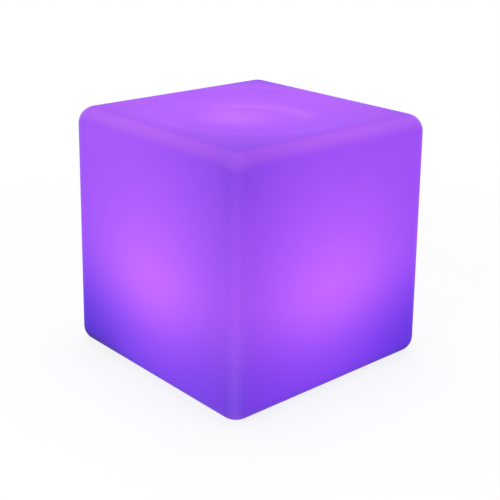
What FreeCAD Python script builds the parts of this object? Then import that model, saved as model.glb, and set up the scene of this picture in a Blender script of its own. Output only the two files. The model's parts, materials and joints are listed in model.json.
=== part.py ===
"""LED cube light: a moulded translucent cube that glows from a rechargeable lamp module in its base.

The cube is one hollow moulding, a little wider at the base than at the top, with a shallow round dish in its top.
The lamp module comes out of a round opening in the bottom. From below it is a flange with six screws, a power
button, a charging socket under a rubber cap and a charge light. Above the flange stand the control board, the
battery on its tray, a can that covers them both, and the LED board on top of the can under a milky dome.

Millimetres, +Z up. The origin is on the floor under the middle of the cube. The driving sizes come first, and
everything else is worked out from them.
"""

import FreeCAD
import Part

import math
import os

from FreeCAD import Vector

# --- Cube moulding --------------------------------------------------------------------------------
BASE_WIDTH = 400.0  # across the flats at the bottom
TOP_WIDTH = 389.0  # across the flats at the top
CUBE_HEIGHT = 392.0
WALL = 4.0
UPRIGHT_EDGE_R = 30.0
RIM_EDGE_R = 26.0  # the edges round the top and round the bottom

DISH_MARGIN = 0.5  # flat left between the dish and the rounded top edge
DISH_SLOPE_WIDTH = 40.0
DISH_SLOPE_DROP = 3.5
DISH_FLOOR_SAG = 2.5

RECESS_DEPTH = 12.0  # the hollow under the cube that the module sits in
RECESS_MARGIN = 1.5  # from the module's flange to the wall of the recess
RECESS_LIP_R = 3.0
OPENING_MARGIN = 2.0  # from the module's can to the opening that it passes through

# --- Feet -----------------------------------------------------------------------------------------
FOOT_R = 14.0
FOOT_PROUD = 2.0
FOOT_POCKET = 1.5
FOOT_INSET = 50.0  # foot centre in from the side of the base
FOOT_EDGE_R = 1.0
FOOT_SEAT_T = 0.8  # rubber left under the screw head
FOOT_BOSS_R = 8.0
FOOT_BOSS_HEIGHT = 10.0

# --- Fits -----------------------------------------------------------------------------------------
SLIP = 0.15  # radial gap round a part that slides or drops into place
SNUG = 0.05  # radial gap round a part that is pushed in and stays
THREAD_GAP = 0.1  # radial gap between a plain screw shank and its hole
TIP_GAP = 1.0  # from a screw's tip to the end of its hole
SINK = 1.0  # how far a post or rib starts inside the plate that it stands on

# --- Flange, gasket and the screws that hold the module in the cube -------------------------------
GASKET_T = 1.5
GASKET_INSET = 1.0  # in from the edges that it lies between
FLANGE_LAND = 10.5  # from the flange screws out to the flange's edge
FLANGE_T = 4.0
FLANGE_FLOOR_T = 3.0
FLANGE_SCREW_COUNT = 6
FLANGE_SCREW_SETBACK = 10.0  # from the edge of the opening out to the flange screws
INSERT_R = 3.0
INSERT_WAIST_DEPTH = 0.5
INSERT_WAIST_WIDTH = 2.0
INSERT_LENGTH = 10.0
INSERT_BOSS_R = 6.0
INSERT_ROOF = 3.0

# --- Can and dome ---------------------------------------------------------------------------------
CAN_R = 60.0
CAN_WALL = 2.5
CAN_HEIGHT = 47.5
CAN_SPIGOT_HEIGHT = 8.0
CAN_BOSS_R = 4.0
CAN_BOSS_SETBACK = 8.0  # boss centres in from the can's outside
CAN_BOSS_HEIGHT = 17.0
CAN_BOSS_WEB_T = 2.0
SEAL_WIDTH = 1.9
SEAL_DEPTH = 1.3
DOME_WALL = 2.0
DOME_HEIGHT = 48.0
DOME_SHOULDER_R = 30.0
DOME_SHOULDER_TURN = 60.0  # degrees round from the upright skirt to the crown
DOME_SCREW_COUNT = 3
DOME_BLOCK_SIZE = 8.0

# --- LED board ------------------------------------------------------------------------------------
SPREADER_MARGIN = 3.0  # from the inside of the dome to the heat spreader
SPREADER_T = 2.0
BOARD_T = 1.6
LED_BOARD_MARGIN = 2.0  # from the heat spreader's edge to the LED board's
LED_SIZE = 5.0
LED_HEIGHT = 1.6
LED_WINDOW_R = 1.9
LED_WINDOW_RISE = 0.15
LED_OUTER_COUNT = 12
LED_OUTER_SETBACK = 15.0  # the outer ring of LEDs, in from the board's edge
LED_INNER_COUNT = 6
LED_INNER_PCR = 22.0
LED_SCREW_SETBACK = 5.5
LED_BOSS_DEPTH = 12.0
EYE_WIDTH = 6.0  # the infrared receiver
EYE_DEPTH = 4.0
EYE_HEIGHT = 7.0
EYE_LENS_R = 2.0
EYE_LEG_LENGTH = 2.5
EYE_LEG_PITCH = 1.8
EYE_LEG_R = 0.3

# --- Control board and its pieces -----------------------------------------------------------------
CONTROL_LEFT = -41.0
CONTROL_SOCKET_GAP = 12.0  # from the board's right edge to the charging socket's axis
CONTROL_HALF_DEPTH = 27.0
CONTROL_CLEARANCE = 10.5  # from the flange floor up to the board
STANDOFF_R = 3.5
STANDOFF_INSET = 4.5
HEADER_WIDTH = 8.0
HEADER_DEPTH = 7.0
HEADER_HEIGHT = 5.6
HEADER_SHELL = 1.0
HEADER_END_GAP = 0.5  # beside the wires at each end of the wide header
PLUG_REACH = 4.0  # how far a wire plug stands out of its header
CONTROLLER_CHIP = (10.0, 6.0, 1.8)  # each chip's width, depth and height
CHARGER_CHIP = (5.0, 4.0, 1.5)
CHARGER_CHIP_Y = -6.0
DRIVER_CHIP = (3.6, 3.2, 1.6)
DRIVER_CHIP_COUNT = 4
DRIVER_CHIP_PITCH = 5.5
DRIVER_CHIP_INSET = 10.0  # from the board's left edge
COIL_SIZE = 7.0
COIL_HEIGHT = 3.5
COIL_CORNER = 1.0
COIL_Y = 5.0
CAPACITOR_R = 3.0
CAPACITOR_HEIGHT = 7.5
CAPACITOR_INSETS = (11.0, 19.0)  # from the board's left edge
CAPACITOR_BACK_GAP = 10.0  # from the board's back edge

# --- Button, charge light and charging socket -----------------------------------------------------
BUTTON_X = -20.0
BUTTON_R = 7.0
BUTTON_PROUD = 1.2
BUTTON_FLANGE_R = 8.6
BUTTON_FLANGE_T = 1.5
BUTTON_DISH_R = 30.0
BUTTON_DISH_DEPTH = 0.4
BUTTON_TRAVEL = 0.8
BUTTON_POST_R = 2.0
BOOT_R = 12.0
BOOT_WALL = 2.4
BOOT_ROOF = 0.8
BOOT_ROOF_GAP = 0.3  # over the fully pressed button
BOOT_RIB_T = 1.5
BOOT_RIB_HEIGHT = 2.5
SWITCH_SIZE = 12.0
SWITCH_HEIGHT = 4.0
PLUNGER_R = 3.2
PLUNGER_PROUD = 1.0
PLUNGER_SUNK = 0.7
PLUNGER_GAP = 0.05  # between the button's post and the switch plunger

LIGHT_PIPE_R = 1.5
LIGHT_PIPE_FLANGE_R = 2.6
LIGHT_PIPE_FLANGE_T = 1.0
CHARGE_LED_HEIGHT = 1.5

SOCKET_SETBACK = 27.5  # in from the pillar beside it, which the cap's stud has to pass
SOCKET_BARREL_R = 5.5
SOCKET_SHOULDER_R = 7.2
SOCKET_SHOULDER_T = 1.4
SOCKET_BORE_R = 2.85
SOCKET_BORE_DEPTH = 10.4
SOCKET_LENGTH = 15.0
SOCKET_PIN_R = 1.0
SOCKET_PIN_SETBACK = 2.6
SOCKET_NUT_FLATS = 14.0
SOCKET_NUT_T = 2.5
SOCKET_TAB_HEIGHT = 5.0
SOCKET_TAB_T = 0.8
SOCKET_TAB_SPACING = 4.0

CAP_R = 8.6
CAP_T = 1.5
CAP_GAP = 0.1
CAP_PLUG_LENGTH = 2.2
CAP_PLUG_TAPER = 0.3
CAP_HINGE_REACH = 10.0  # from the socket's axis to the living hinge
CAP_NECK_WIDTH = 7.0
CAP_HINGE_GAP = 0.3
CAP_TAB_WIDTH = 5.0
CAP_TAB_REACH = 3.0  # the finger tab on the free side of the cap
CAP_STUD_REACH = 6.5  # from the living hinge to the stud that holds the strap
CAP_STUD_R = 2.0
CAP_STUD_PAD_R = 4.2
CAP_STUD_HEAD_R = 3.0
CAP_STUD_HEAD_T = 1.5

# --- Battery --------------------------------------------------------------------------------------
TRAY_MARGIN = 4.5  # from the inside of the can to the tray
TRAY_T = 2.0
TRAY_CLEARANCE = 22.5  # from the flange floor up to the tray
PILLAR_R = 4.0
PILLAR_SETBACK_X = 5.5  # pillar centres in from the tray's edge
PILLAR_SETBACK_Y = 15.0
CELL_R = 9.0
CELL_LENGTH = 65.0
CELL_NUB_R = 2.8
CELL_NUB_HEIGHT = 0.8
CELL_PITCH = 18.8
SLEEVE_T = 0.2
SLEEVE_END_GAP = 1.0  # the sleeve stops short of each end of its cell
CELL_LIFT = 1.0  # from the tray up to the cells
SADDLE_Y = 22.0
SADDLE_T = 3.0
SADDLE_HEIGHT = 7.0
STRIP_WIDTH = 8.0
STRIP_T = 0.2
STRIP_END = 1.0  # the strip runs past the cell's button
STRAP_WIDTH = 10.0
STRAP_T = 0.8
STRAP_FOOT = 9.0
PACK_BOARD_WIDTH = 36.0
PACK_BOARD_HEIGHT = 14.0
PACK_BOARD_T = 1.0

# --- Wires ----------------------------------------------------------------------------------------
WIRE_R = 0.65
WIRE_PITCH = 1.7
WIRE_BEND_R = 4.0
LED_WIRE_COUNT = 5
LED_WIRE_INSET = 18.0  # from the control board's right edge to the middle wire
LED_WIRE_SETBACK = 7.0  # in from the LED board's edge
BATTERY_WIRE_X = -14.0
BATTERY_WIRE_STANDOFF = 7.0  # from the protection board out to the rising wires
SOCKET_WIRE_Y = -14.0
SLOT_MARGIN = 1.6  # clear space round a wire where it passes a plate
GROMMET_FLANGE = 1.6
GROMMET_LIP_T = 1.0

# --- Screws: shank radius, head radius, head height, length under the head ------------------------
FLANGE_SCREW = (2.0, 3.8, 2.4, 12.0)
FOOT_SCREW = (1.75, 3.4, 1.6, 9.0)
CAN_SCREW = (1.5, 3.0, 1.8, 12.0)
LED_SCREW = (1.5, 2.8, 1.8, 9.0)
BOARD_SCREW = (1.25, 2.4, 1.5, 7.0)
TRAY_SCREW = (1.5, 2.8, 1.8, 9.0)
STRAP_SCREW = (1.0, 2.1, 1.2, 5.0)
DOME_SCREW = (1.25, 2.2, 1.2, 6.0)

# --- Radii and places worked out from the sizes above ---------------------------------------------
OPENING_R = CAN_R + OPENING_MARGIN
FLANGE_SCREW_PCR = OPENING_R + FLANGE_SCREW_SETBACK
FLANGE_R = FLANGE_SCREW_PCR + FLANGE_LAND
RECESS_R = FLANGE_R + RECESS_MARGIN
CAN_BOSS_PCR = CAN_R - CAN_BOSS_SETBACK
SPREADER_R = CAN_R - DOME_WALL - SPREADER_MARGIN
LED_BOARD_R = SPREADER_R - LED_BOARD_MARGIN
LED_OUTER_PCR = LED_BOARD_R - LED_OUTER_SETBACK
LED_SCREW_PCR = LED_BOARD_R - LED_SCREW_SETBACK
TRAY_R = CAN_R - CAN_WALL - TRAY_MARGIN
PILLAR_PCR_X = TRAY_R - PILLAR_SETBACK_X
PILLAR_PCR_Y = TRAY_R - PILLAR_SETBACK_Y
SOCKET_X = PILLAR_PCR_X - SOCKET_SETBACK
CONTROL_RIGHT = SOCKET_X - CONTROL_SOCKET_GAP
LED_WIRE_X = CONTROL_RIGHT - LED_WIRE_INSET
LED_WIRE_RISE_Y = LED_BOARD_R - LED_WIRE_SETBACK
PACK_BOARD_FACE_Y = -CELL_LENGTH / 2 - STRIP_T - SLIP - PACK_BOARD_T
BATTERY_WIRE_RISE_Y = PACK_BOARD_FACE_Y - BATTERY_WIRE_STANDOFF

# --- Levels worked out from the sizes above -------------------------------------------------------
CUBE_BOTTOM = FOOT_PROUD
CUBE_TOP = CUBE_BOTTOM + CUBE_HEIGHT
LEDGE_BOTTOM = CUBE_BOTTOM + RECESS_DEPTH
LEDGE_TOP = LEDGE_BOTTOM + WALL
FLANGE_TOP = LEDGE_BOTTOM - GASKET_T
FLANGE_BOTTOM = FLANGE_TOP - FLANGE_T
FLOOR_TOP = FLANGE_BOTTOM + FLANGE_FLOOR_T
CONTROL_BOTTOM = FLOOR_TOP + CONTROL_CLEARANCE
CONTROL_TOP = CONTROL_BOTTOM + BOARD_T
TRAY_BOTTOM = FLOOR_TOP + TRAY_CLEARANCE
TRAY_TOP = TRAY_BOTTOM + TRAY_T
CAN_TOP = FLANGE_TOP + CAN_HEIGHT
CAN_CEILING = CAN_TOP - CAN_WALL
SPIGOT_BOTTOM = CAN_TOP - CAN_SPIGOT_HEIGHT
LED_BOARD_BOTTOM = CAN_TOP + SPREADER_T
LED_BOARD_TOP = LED_BOARD_BOTTOM + BOARD_T
SLEEVED_R = CELL_R + SNUG + SLEEVE_T
CELL_AXIS_Z = TRAY_TOP + CELL_LIFT + SLEEVED_R
SWITCH_BOTTOM = CONTROL_BOTTOM - SWITCH_HEIGHT
PLUNGER_TIP = SWITCH_BOTTOM - PLUNGER_PROUD
HINGE_X = SOCKET_X + CAP_HINGE_REACH
CAP_TOP = FLANGE_BOTTOM - CAP_GAP
CAP_BOTTOM = CAP_TOP - CAP_T
HINGE_Z = CAP_BOTTOM + CAP_T / 2
STUD_X = HINGE_X + CAP_STUD_REACH
FOOT_AT = BASE_WIDTH / 2 - FOOT_INSET
DISH_RIM_R = TOP_WIDTH / 2 - RIM_EDGE_R - DISH_MARGIN
WIRE_LEVEL = CONTROL_TOP + HEADER_HEIGHT / 2
UP = Vector(0, 0, 1)


# --- Shape helpers --------------------------------------------------------------------------------
def disc(radius, bottom, top, x=0.0, y=0.0):
    """An upright cylinder between two levels."""
    return Part.makeCylinder(radius, top - bottom, Vector(x, y, bottom))


def ring(inner, outer, bottom, top, x=0.0, y=0.0):
    """An upright tube between two levels."""
    return disc(outer, bottom, top, x, y).cut(disc(inner, bottom, top, x, y))


def block(x0, x1, y0, y1, z0, z1):
    """A box between two corners."""
    return Part.makeBox(x1 - x0, y1 - y0, z1 - z0, Vector(x0, y0, z0))


def around(count, radius, start_deg=0.0):
    """The points of a bolt circle."""
    angles = [math.radians(start_deg + 360.0 * i / count) for i in range(count)]
    return [(radius * math.cos(a), radius * math.sin(a)) for a in angles]


def corners(half_x, half_y):
    """The four corners of a rectangle about the middle."""
    return [(sx * half_x, sy * half_y) for sx in (-1, 1) for sy in (-1, 1)]


def join(shapes):
    """One solid from pieces that touch or overlap."""
    return shapes[0].multiFuse(shapes[1:]).removeSplitter() if len(shapes) > 1 else shapes[0]


def flat_edges(shape, level, radius=None):
    """The edges that lie in a level plane, or only the circles of one radius in it."""
    found = []
    for edge in shape.Edges:
        if abs(edge.BoundBox.ZMin - level) > 1e-4 or abs(edge.BoundBox.ZMax - level) > 1e-4:
            continue
        curve = edge.Curve
        if radius is None or (hasattr(curve, "Radius") and abs(curve.Radius - radius) < 1e-4):
            found.append(edge)
    return found


def screw(kind, x, y, seat, pointing=1, countersunk=False):
    """A cross-head screw with its head's underside on a level. It points up (1) or down (-1)."""
    shank_r, head_r, head_h, length = kind
    shank = disc(shank_r, 0, length)
    if countersunk:
        head = Part.makeCone(head_r, shank_r, head_h)
        bottom = 0.0
    else:
        head = disc(head_r, -head_h, 0)
        head = head.makeFillet(head_h * 0.45, flat_edges(head, -head_h))
        bottom = -head_h
    body = join([shank, head])
    slot, depth = head_r * 0.62, head_h * 0.5
    for half_x, half_y in ((slot, slot * 0.22), (slot * 0.22, slot)):
        body = body.cut(block(-half_x, half_x, -half_y, half_y, bottom, bottom + depth))
    if pointing < 0:
        body.rotate(Vector(0, 0, 0), Vector(1, 0, 0), 180)
    body.translate(Vector(x, y, seat))
    return body


def pilot(kind, x, y, bottom, top):
    """The hole that a screw's shank turns into."""
    return disc(kind[0] + THREAD_GAP, bottom, top, x, y)


def tube_along(points, radius, bend_r):
    """A round wire along straight runs joined by tangent arcs."""
    edges, start = [], points[0]
    for before, corner, after in zip(points, points[1:], points[2:]):
        into, out = (corner - before).normalize(), (after - corner).normalize()
        reach = bend_r * math.tan(into.getAngle(out) / 2)
        arc_start, arc_end = corner - into * reach, corner + out * reach
        centre_way = (out - into).normalize()
        apex_offset = bend_r / math.cos(into.getAngle(out) / 2) - bend_r
        arc_middle = corner + centre_way * apex_offset
        edges.append(Part.LineSegment(start, arc_start).toShape())
        edges.append(Part.Arc(arc_start, arc_middle, arc_end).toShape())
        start = arc_end
    edges.append(Part.LineSegment(start, points[-1]).toShape())
    section = Part.Wire(Part.makeCircle(radius, points[0], points[1] - points[0]))
    return Part.Wire(edges).makePipeShell([section], True, False)


# --- Cube moulding and feet -----------------------------------------------------------------------
def square(width, z):
    h = width / 2
    points = [Vector(-h, -h, z), Vector(h, -h, z), Vector(h, h, z), Vector(-h, h, z), Vector(-h, -h, z)]
    return Part.makePolygon(points)


def drafted_cube(inset):
    """The cube's outside, or with an inset the hollow inside it, with its edges rounded to suit."""
    bottom, top = CUBE_BOTTOM + inset, CUBE_TOP - inset
    outlines = [square(BASE_WIDTH - 2 * inset, bottom), square(TOP_WIDTH - 2 * inset, top)]
    body = Part.makeLoft(outlines, True, True)
    uprights = [e for e in body.Edges if e.BoundBox.ZLength > CUBE_HEIGHT / 2]
    body = body.makeFillet(UPRIGHT_EDGE_R - inset, uprights)
    body = body.makeFillet(RIM_EDGE_R - inset, flat_edges(body, top))
    return body.makeFillet(RIM_EDGE_R - inset, flat_edges(body, bottom))


def dish(level):
    """What is scooped out of the top: a sagging floor, and a soft S-shaped slope up to the rim."""
    floor_r = DISH_RIM_R - DISH_SLOPE_WIDTH
    floor_z = level - DISH_SLOPE_DROP
    floor_arc_r = (floor_r**2 + DISH_FLOOR_SAG**2) / (2 * DISH_FLOOR_SAG)
    start_angle = math.asin(floor_r / floor_arc_r)
    # Two equal arcs, tangent to the floor, to each other and to the flat rim.
    side = 2 * math.hypot(DISH_SLOPE_DROP, DISH_SLOPE_WIDTH)
    known = DISH_SLOPE_WIDTH * (1 + math.cos(start_angle)) + DISH_SLOPE_DROP * math.sin(start_angle)
    steepest = math.atan2(DISH_SLOPE_DROP, DISH_SLOPE_WIDTH) + math.acos(known / side)
    arc_r = DISH_SLOPE_WIDTH / (2 * math.sin(steepest) - math.sin(start_angle))

    def foot_point(angle):
        return Vector(
            floor_r + arc_r * (math.sin(angle) - math.sin(start_angle)),
            0,
            floor_z + arc_r * (math.cos(start_angle) - math.cos(angle)),
        )

    def rim_point(angle):
        return Vector(DISH_RIM_R - arc_r * math.sin(angle), 0, level - arc_r * (1 - math.cos(angle)))

    middle = Vector(0, 0, floor_z - DISH_FLOOR_SAG)
    half_way = start_angle / 2
    floor_middle = Vector(
        floor_arc_r * math.sin(half_way), 0, middle.z + floor_arc_r * (1 - math.cos(half_way))
    )
    lid = level + RIM_EDGE_R
    outline = [
        Part.Arc(middle, floor_middle, foot_point(start_angle)).toShape(),
        Part.Arc(
            foot_point(start_angle), foot_point((start_angle + steepest) / 2), foot_point(steepest)
        ).toShape(),
        Part.Arc(rim_point(steepest), rim_point(steepest / 2), rim_point(0)).toShape(),
        Part.LineSegment(rim_point(0), Vector(DISH_RIM_R, 0, lid)).toShape(),
        Part.LineSegment(Vector(DISH_RIM_R, 0, lid), Vector(0, 0, lid)).toShape(),
        Part.LineSegment(Vector(0, 0, lid), middle).toShape(),
    ]
    return Part.Face(Part.Wire(outline)).revolve(Vector(0, 0, 0), UP, 360)


def cube_shell():
    """The translucent moulding, with its wall the same all round: sides, dished top, and the recess below."""
    hollow = drafted_cube(WALL).cut(dish(CUBE_TOP - WALL))
    shell = drafted_cube(0).cut(dish(CUBE_TOP)).cut(hollow)
    solid_bits = [ring(OPENING_R, RECESS_R + WALL, CUBE_BOTTOM + WALL / 2, LEDGE_TOP)]
    boss_top = LEDGE_BOTTOM + INSERT_LENGTH + INSERT_ROOF
    for x, y in around(FLANGE_SCREW_COUNT, FLANGE_SCREW_PCR):
        solid_bits.append(disc(INSERT_BOSS_R, LEDGE_BOTTOM, boss_top, x, y))
    for x, y in corners(FOOT_AT, FOOT_AT):
        solid_bits.append(
            disc(FOOT_BOSS_R, CUBE_BOTTOM + WALL / 2, CUBE_BOTTOM + WALL + FOOT_BOSS_HEIGHT, x, y)
        )
    shell = join([shell, *solid_bits])
    recess = disc(RECESS_R, CUBE_BOTTOM - 1, LEDGE_BOTTOM)
    shell = shell.cut(recess).cut(disc(OPENING_R, CUBE_BOTTOM, boss_top))
    shell = shell.makeFillet(RECESS_LIP_R, flat_edges(shell, CUBE_BOTTOM, RECESS_R))
    for x, y in around(FLANGE_SCREW_COUNT, FLANGE_SCREW_PCR):
        shell = shell.cut(disc(INSERT_R + SNUG, LEDGE_BOTTOM, LEDGE_BOTTOM + INSERT_LENGTH, x, y))
        shell = shell.cut(disc(FLANGE_SCREW[0] + THREAD_GAP, LEDGE_BOTTOM, boss_top - INSERT_ROOF / 2, x, y))
    for x, y in corners(FOOT_AT, FOOT_AT):
        shell = shell.cut(disc(FOOT_R + SLIP, CUBE_BOTTOM, CUBE_BOTTOM + FOOT_POCKET, x, y))
        shell = shell.cut(pilot(FOOT_SCREW, x, y, CUBE_BOTTOM, foot_screw_seat() + FOOT_SCREW[3] + TIP_GAP))
    return shell


def screw_inserts():
    """Brass nuts moulded into the ledge for the flange screws."""
    nuts = []
    for x, y in around(FLANGE_SCREW_COUNT, FLANGE_SCREW_PCR):
        nut = ring(FLANGE_SCREW[0] + THREAD_GAP, INSERT_R, LEDGE_BOTTOM, LEDGE_BOTTOM + INSERT_LENGTH, x, y)
        waist = LEDGE_BOTTOM + INSERT_LENGTH / 2
        half = INSERT_WAIST_WIDTH / 2
        nuts.append(nut.cut(ring(INSERT_R - INSERT_WAIST_DEPTH, INSERT_R + 1, waist - half, waist + half, x, y)))
    return nuts


def foot_screw_seat():
    return CUBE_BOTTOM + FOOT_POCKET - FOOT_SEAT_T


def foot_pads():
    pads = []
    for x, y in corners(FOOT_AT, FOOT_AT):
        pad = disc(FOOT_R, 0, CUBE_BOTTOM + FOOT_POCKET, x, y)
        pad = pad.makeFillet(FOOT_EDGE_R, flat_edges(pad, 0))
        pad = pad.cut(disc(FOOT_SCREW[1] + SLIP, 0, foot_screw_seat(), x, y))
        pads.append(pad.cut(pilot(FOOT_SCREW, x, y, 0, CUBE_BOTTOM + FOOT_POCKET)))
    return pads


def foot_screws():
    return [screw(FOOT_SCREW, x, y, foot_screw_seat()) for x, y in corners(FOOT_AT, FOOT_AT)]


# --- Flange ---------------------------------------------------------------------------------------
CAN_SCREW_POINTS = around(4, CAN_BOSS_PCR, 45)
PILLAR_POINTS = [(-PILLAR_PCR_X, 0), (PILLAR_PCR_X, 0), (0, -PILLAR_PCR_Y), (0, PILLAR_PCR_Y)]
CONTROL_MIDDLE_X = (CONTROL_LEFT + CONTROL_RIGHT) / 2
STANDOFF_POINTS = [
    (CONTROL_MIDDLE_X + dx, dy)
    for dx, dy in corners(
        (CONTROL_RIGHT - CONTROL_LEFT) / 2 - STANDOFF_INSET, CONTROL_HALF_DEPTH - STANDOFF_INSET
    )
]
SEAL_R = CAN_R - CAN_WALL / 2


def flange_plate():
    """The module's bottom: flange, floor, standoffs, pillars and the holes for button, light and socket."""
    plate = disc(FLANGE_R, FLANGE_BOTTOM, FLANGE_TOP)
    plate = plate.makeFillet(FLANGE_T / 4, flat_edges(plate, FLANGE_BOTTOM))
    plate = plate.cut(disc(CAN_R - CAN_WALL - SEAL_WIDTH, FLOOR_TOP, FLANGE_TOP))
    posts = [disc(CAN_BOSS_R, FLANGE_BOTTOM + SINK, FLANGE_TOP, x, y) for x, y in CAN_SCREW_POINTS]
    posts += [disc(STANDOFF_R, FLANGE_BOTTOM + SINK, CONTROL_BOTTOM, x, y) for x, y in STANDOFF_POINTS]
    posts += [disc(PILLAR_R, FLANGE_BOTTOM + SINK, TRAY_BOTTOM, x, y) for x, y in PILLAR_POINTS]
    posts.append(
        ring(
            BOOT_R + SNUG, BOOT_R + SNUG + BOOT_RIB_T, FLANGE_BOTTOM + SINK, FLOOR_TOP + BOOT_RIB_HEIGHT,
            BUTTON_X,
        )
    )
    plate = join([plate, *posts])
    groove = ring(SEAL_R - SEAL_WIDTH / 2, SEAL_R + SEAL_WIDTH / 2, FLANGE_TOP - SEAL_DEPTH, FLANGE_TOP)
    holes = [groove]
    for x, y in around(FLANGE_SCREW_COUNT, FLANGE_SCREW_PCR):
        holes.append(disc(FLANGE_SCREW[0] + SLIP, FLANGE_BOTTOM, FLANGE_TOP, x, y))
    for x, y in CAN_SCREW_POINTS:
        shank_r, head_r, head_h, _ = CAN_SCREW
        holes.append(disc(shank_r + SLIP, FLANGE_BOTTOM, FLANGE_TOP, x, y))
        sink = Part.makeCone(head_r + SLIP, shank_r + SLIP, head_h, Vector(x, y, FLANGE_BOTTOM))
        holes.append(sink)
    for x, y in STANDOFF_POINTS:
        holes.append(pilot(BOARD_SCREW, x, y, CONTROL_BOTTOM - BOARD_SCREW[3], CONTROL_BOTTOM))
    for x, y in PILLAR_POINTS:
        holes.append(pilot(TRAY_SCREW, x, y, TRAY_BOTTOM - TRAY_SCREW[3], TRAY_BOTTOM))
    holes.append(disc(BUTTON_R + SLIP, FLANGE_BOTTOM, FLOOR_TOP, BUTTON_X))
    holes.append(disc(LIGHT_PIPE_R + SNUG, FLANGE_BOTTOM, FLOOR_TOP))
    holes.append(disc(SOCKET_BARREL_R + SLIP, FLANGE_BOTTOM, FLOOR_TOP, SOCKET_X))
    holes.append(
        disc(SOCKET_SHOULDER_R + SLIP, FLANGE_BOTTOM, FLANGE_BOTTOM + CAP_GAP + SOCKET_SHOULDER_T, SOCKET_X)
    )
    holes.append(disc(CAP_STUD_R + SNUG, FLANGE_BOTTOM, FLOOR_TOP, STUD_X))
    for hole in holes:
        plate = plate.cut(hole)
    return plate


def flange_gasket():
    gasket = ring(OPENING_R + GASKET_INSET, FLANGE_R - GASKET_INSET, FLANGE_TOP, LEDGE_BOTTOM)
    for x, y in around(FLANGE_SCREW_COUNT, FLANGE_SCREW_PCR):
        gasket = gasket.cut(disc(FLANGE_SCREW[0] + SLIP, FLANGE_TOP, LEDGE_BOTTOM, x, y))
    return gasket


def flange_screws():
    points = around(FLANGE_SCREW_COUNT, FLANGE_SCREW_PCR)
    return [screw(FLANGE_SCREW, x, y, FLANGE_BOTTOM) for x, y in points]


# --- Button, switch and charge light --------------------------------------------------------------
def power_button():
    """A round push button: it slides up through the flange, and its post presses the switch."""
    flange_bottom = FLOOR_TOP + SLIP
    face = FLANGE_BOTTOM - BUTTON_PROUD
    cap = disc(BUTTON_R, face, flange_bottom + BUTTON_FLANGE_T, BUTTON_X)
    cap = cap.makeFillet(BUTTON_PROUD * 0.6, flat_edges(cap, face))
    scoop = Part.makeSphere(BUTTON_DISH_R, Vector(BUTTON_X, 0, face + BUTTON_DISH_DEPTH - BUTTON_DISH_R))
    stop = disc(BUTTON_FLANGE_R, flange_bottom, flange_bottom + BUTTON_FLANGE_T, BUTTON_X)
    post = disc(BUTTON_POST_R, flange_bottom, PLUNGER_TIP - PLUNGER_GAP, BUTTON_X)
    return join([cap.cut(scoop), stop, post])


def button_boot():
    """The silicone hood inside the flange that keeps water out round the button's post."""
    roof = FLOOR_TOP + SLIP + BUTTON_FLANGE_T + BUTTON_TRAVEL + BOOT_ROOF_GAP
    boot = disc(BOOT_R, FLOOR_TOP, roof + BOOT_ROOF, BUTTON_X)
    boot = boot.makeFillet(BOOT_ROOF, flat_edges(boot, roof + BOOT_ROOF))
    boot = boot.cut(disc(BOOT_R - BOOT_WALL, FLOOR_TOP, roof, BUTTON_X))
    return boot.cut(disc(BUTTON_POST_R + SLIP, FLOOR_TOP, roof + BOOT_ROOF, BUTTON_X))


def switch_body():
    half = SWITCH_SIZE / 2
    body = block(BUTTON_X - half, BUTTON_X + half, -half, half, SWITCH_BOTTOM, CONTROL_BOTTOM)
    well_top = SWITCH_BOTTOM + PLUNGER_SUNK + BUTTON_TRAVEL + SLIP
    return body.cut(disc(PLUNGER_R + SLIP, SWITCH_BOTTOM, well_top, BUTTON_X))


def switch_plunger():
    return disc(PLUNGER_R, PLUNGER_TIP, SWITCH_BOTTOM + PLUNGER_SUNK, BUTTON_X)


def light_pipe():
    pipe = disc(LIGHT_PIPE_R, FLANGE_BOTTOM, CONTROL_BOTTOM - CHARGE_LED_HEIGHT - SLIP)
    return join([pipe, disc(LIGHT_PIPE_FLANGE_R, FLOOR_TOP, FLOOR_TOP + LIGHT_PIPE_FLANGE_T)])


def charge_led():
    half_x, half_y = LIGHT_PIPE_R, LIGHT_PIPE_R * 0.6
    return block(-half_x, half_x, -half_y, half_y, CONTROL_BOTTOM - CHARGE_LED_HEIGHT, CONTROL_BOTTOM)


# --- Charging socket and its cap ------------------------------------------------------------------
SOCKET_FACE = FLANGE_BOTTOM + CAP_GAP
SOCKET_REAR = SOCKET_FACE + SOCKET_LENGTH


def socket_body():
    """The round charging socket: a shoulder below the flange floor and a barrel up through it."""
    shoulder = disc(SOCKET_SHOULDER_R, SOCKET_FACE, SOCKET_FACE + SOCKET_SHOULDER_T, SOCKET_X)
    barrel = disc(SOCKET_BARREL_R, SOCKET_FACE, SOCKET_REAR, SOCKET_X)
    bore = disc(SOCKET_BORE_R, SOCKET_FACE, SOCKET_FACE + SOCKET_BORE_DEPTH, SOCKET_X)
    return join([shoulder, barrel]).cut(bore)


def socket_contacts():
    """The centre pin, and the two tabs at the back that the wires are soldered to."""
    tip = SOCKET_FACE + SOCKET_PIN_SETBACK
    pin = disc(SOCKET_PIN_R, tip, SOCKET_FACE + SOCKET_BORE_DEPTH, SOCKET_X)
    pin = pin.makeFillet(SOCKET_PIN_R * 0.8, flat_edges(pin, tip))
    half_t, half_w = SOCKET_TAB_T / 2, SOCKET_TAB_SPACING * 0.4
    tabs = [
        block(x - half_t, x + half_t, -half_w, half_w, SOCKET_REAR, SOCKET_REAR + SOCKET_TAB_HEIGHT)
        for x in socket_tab_places()
    ]
    return [pin, *tabs]


def socket_tab_places():
    return [SOCKET_X - SOCKET_TAB_SPACING / 2, SOCKET_X + SOCKET_TAB_SPACING / 2]


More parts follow.
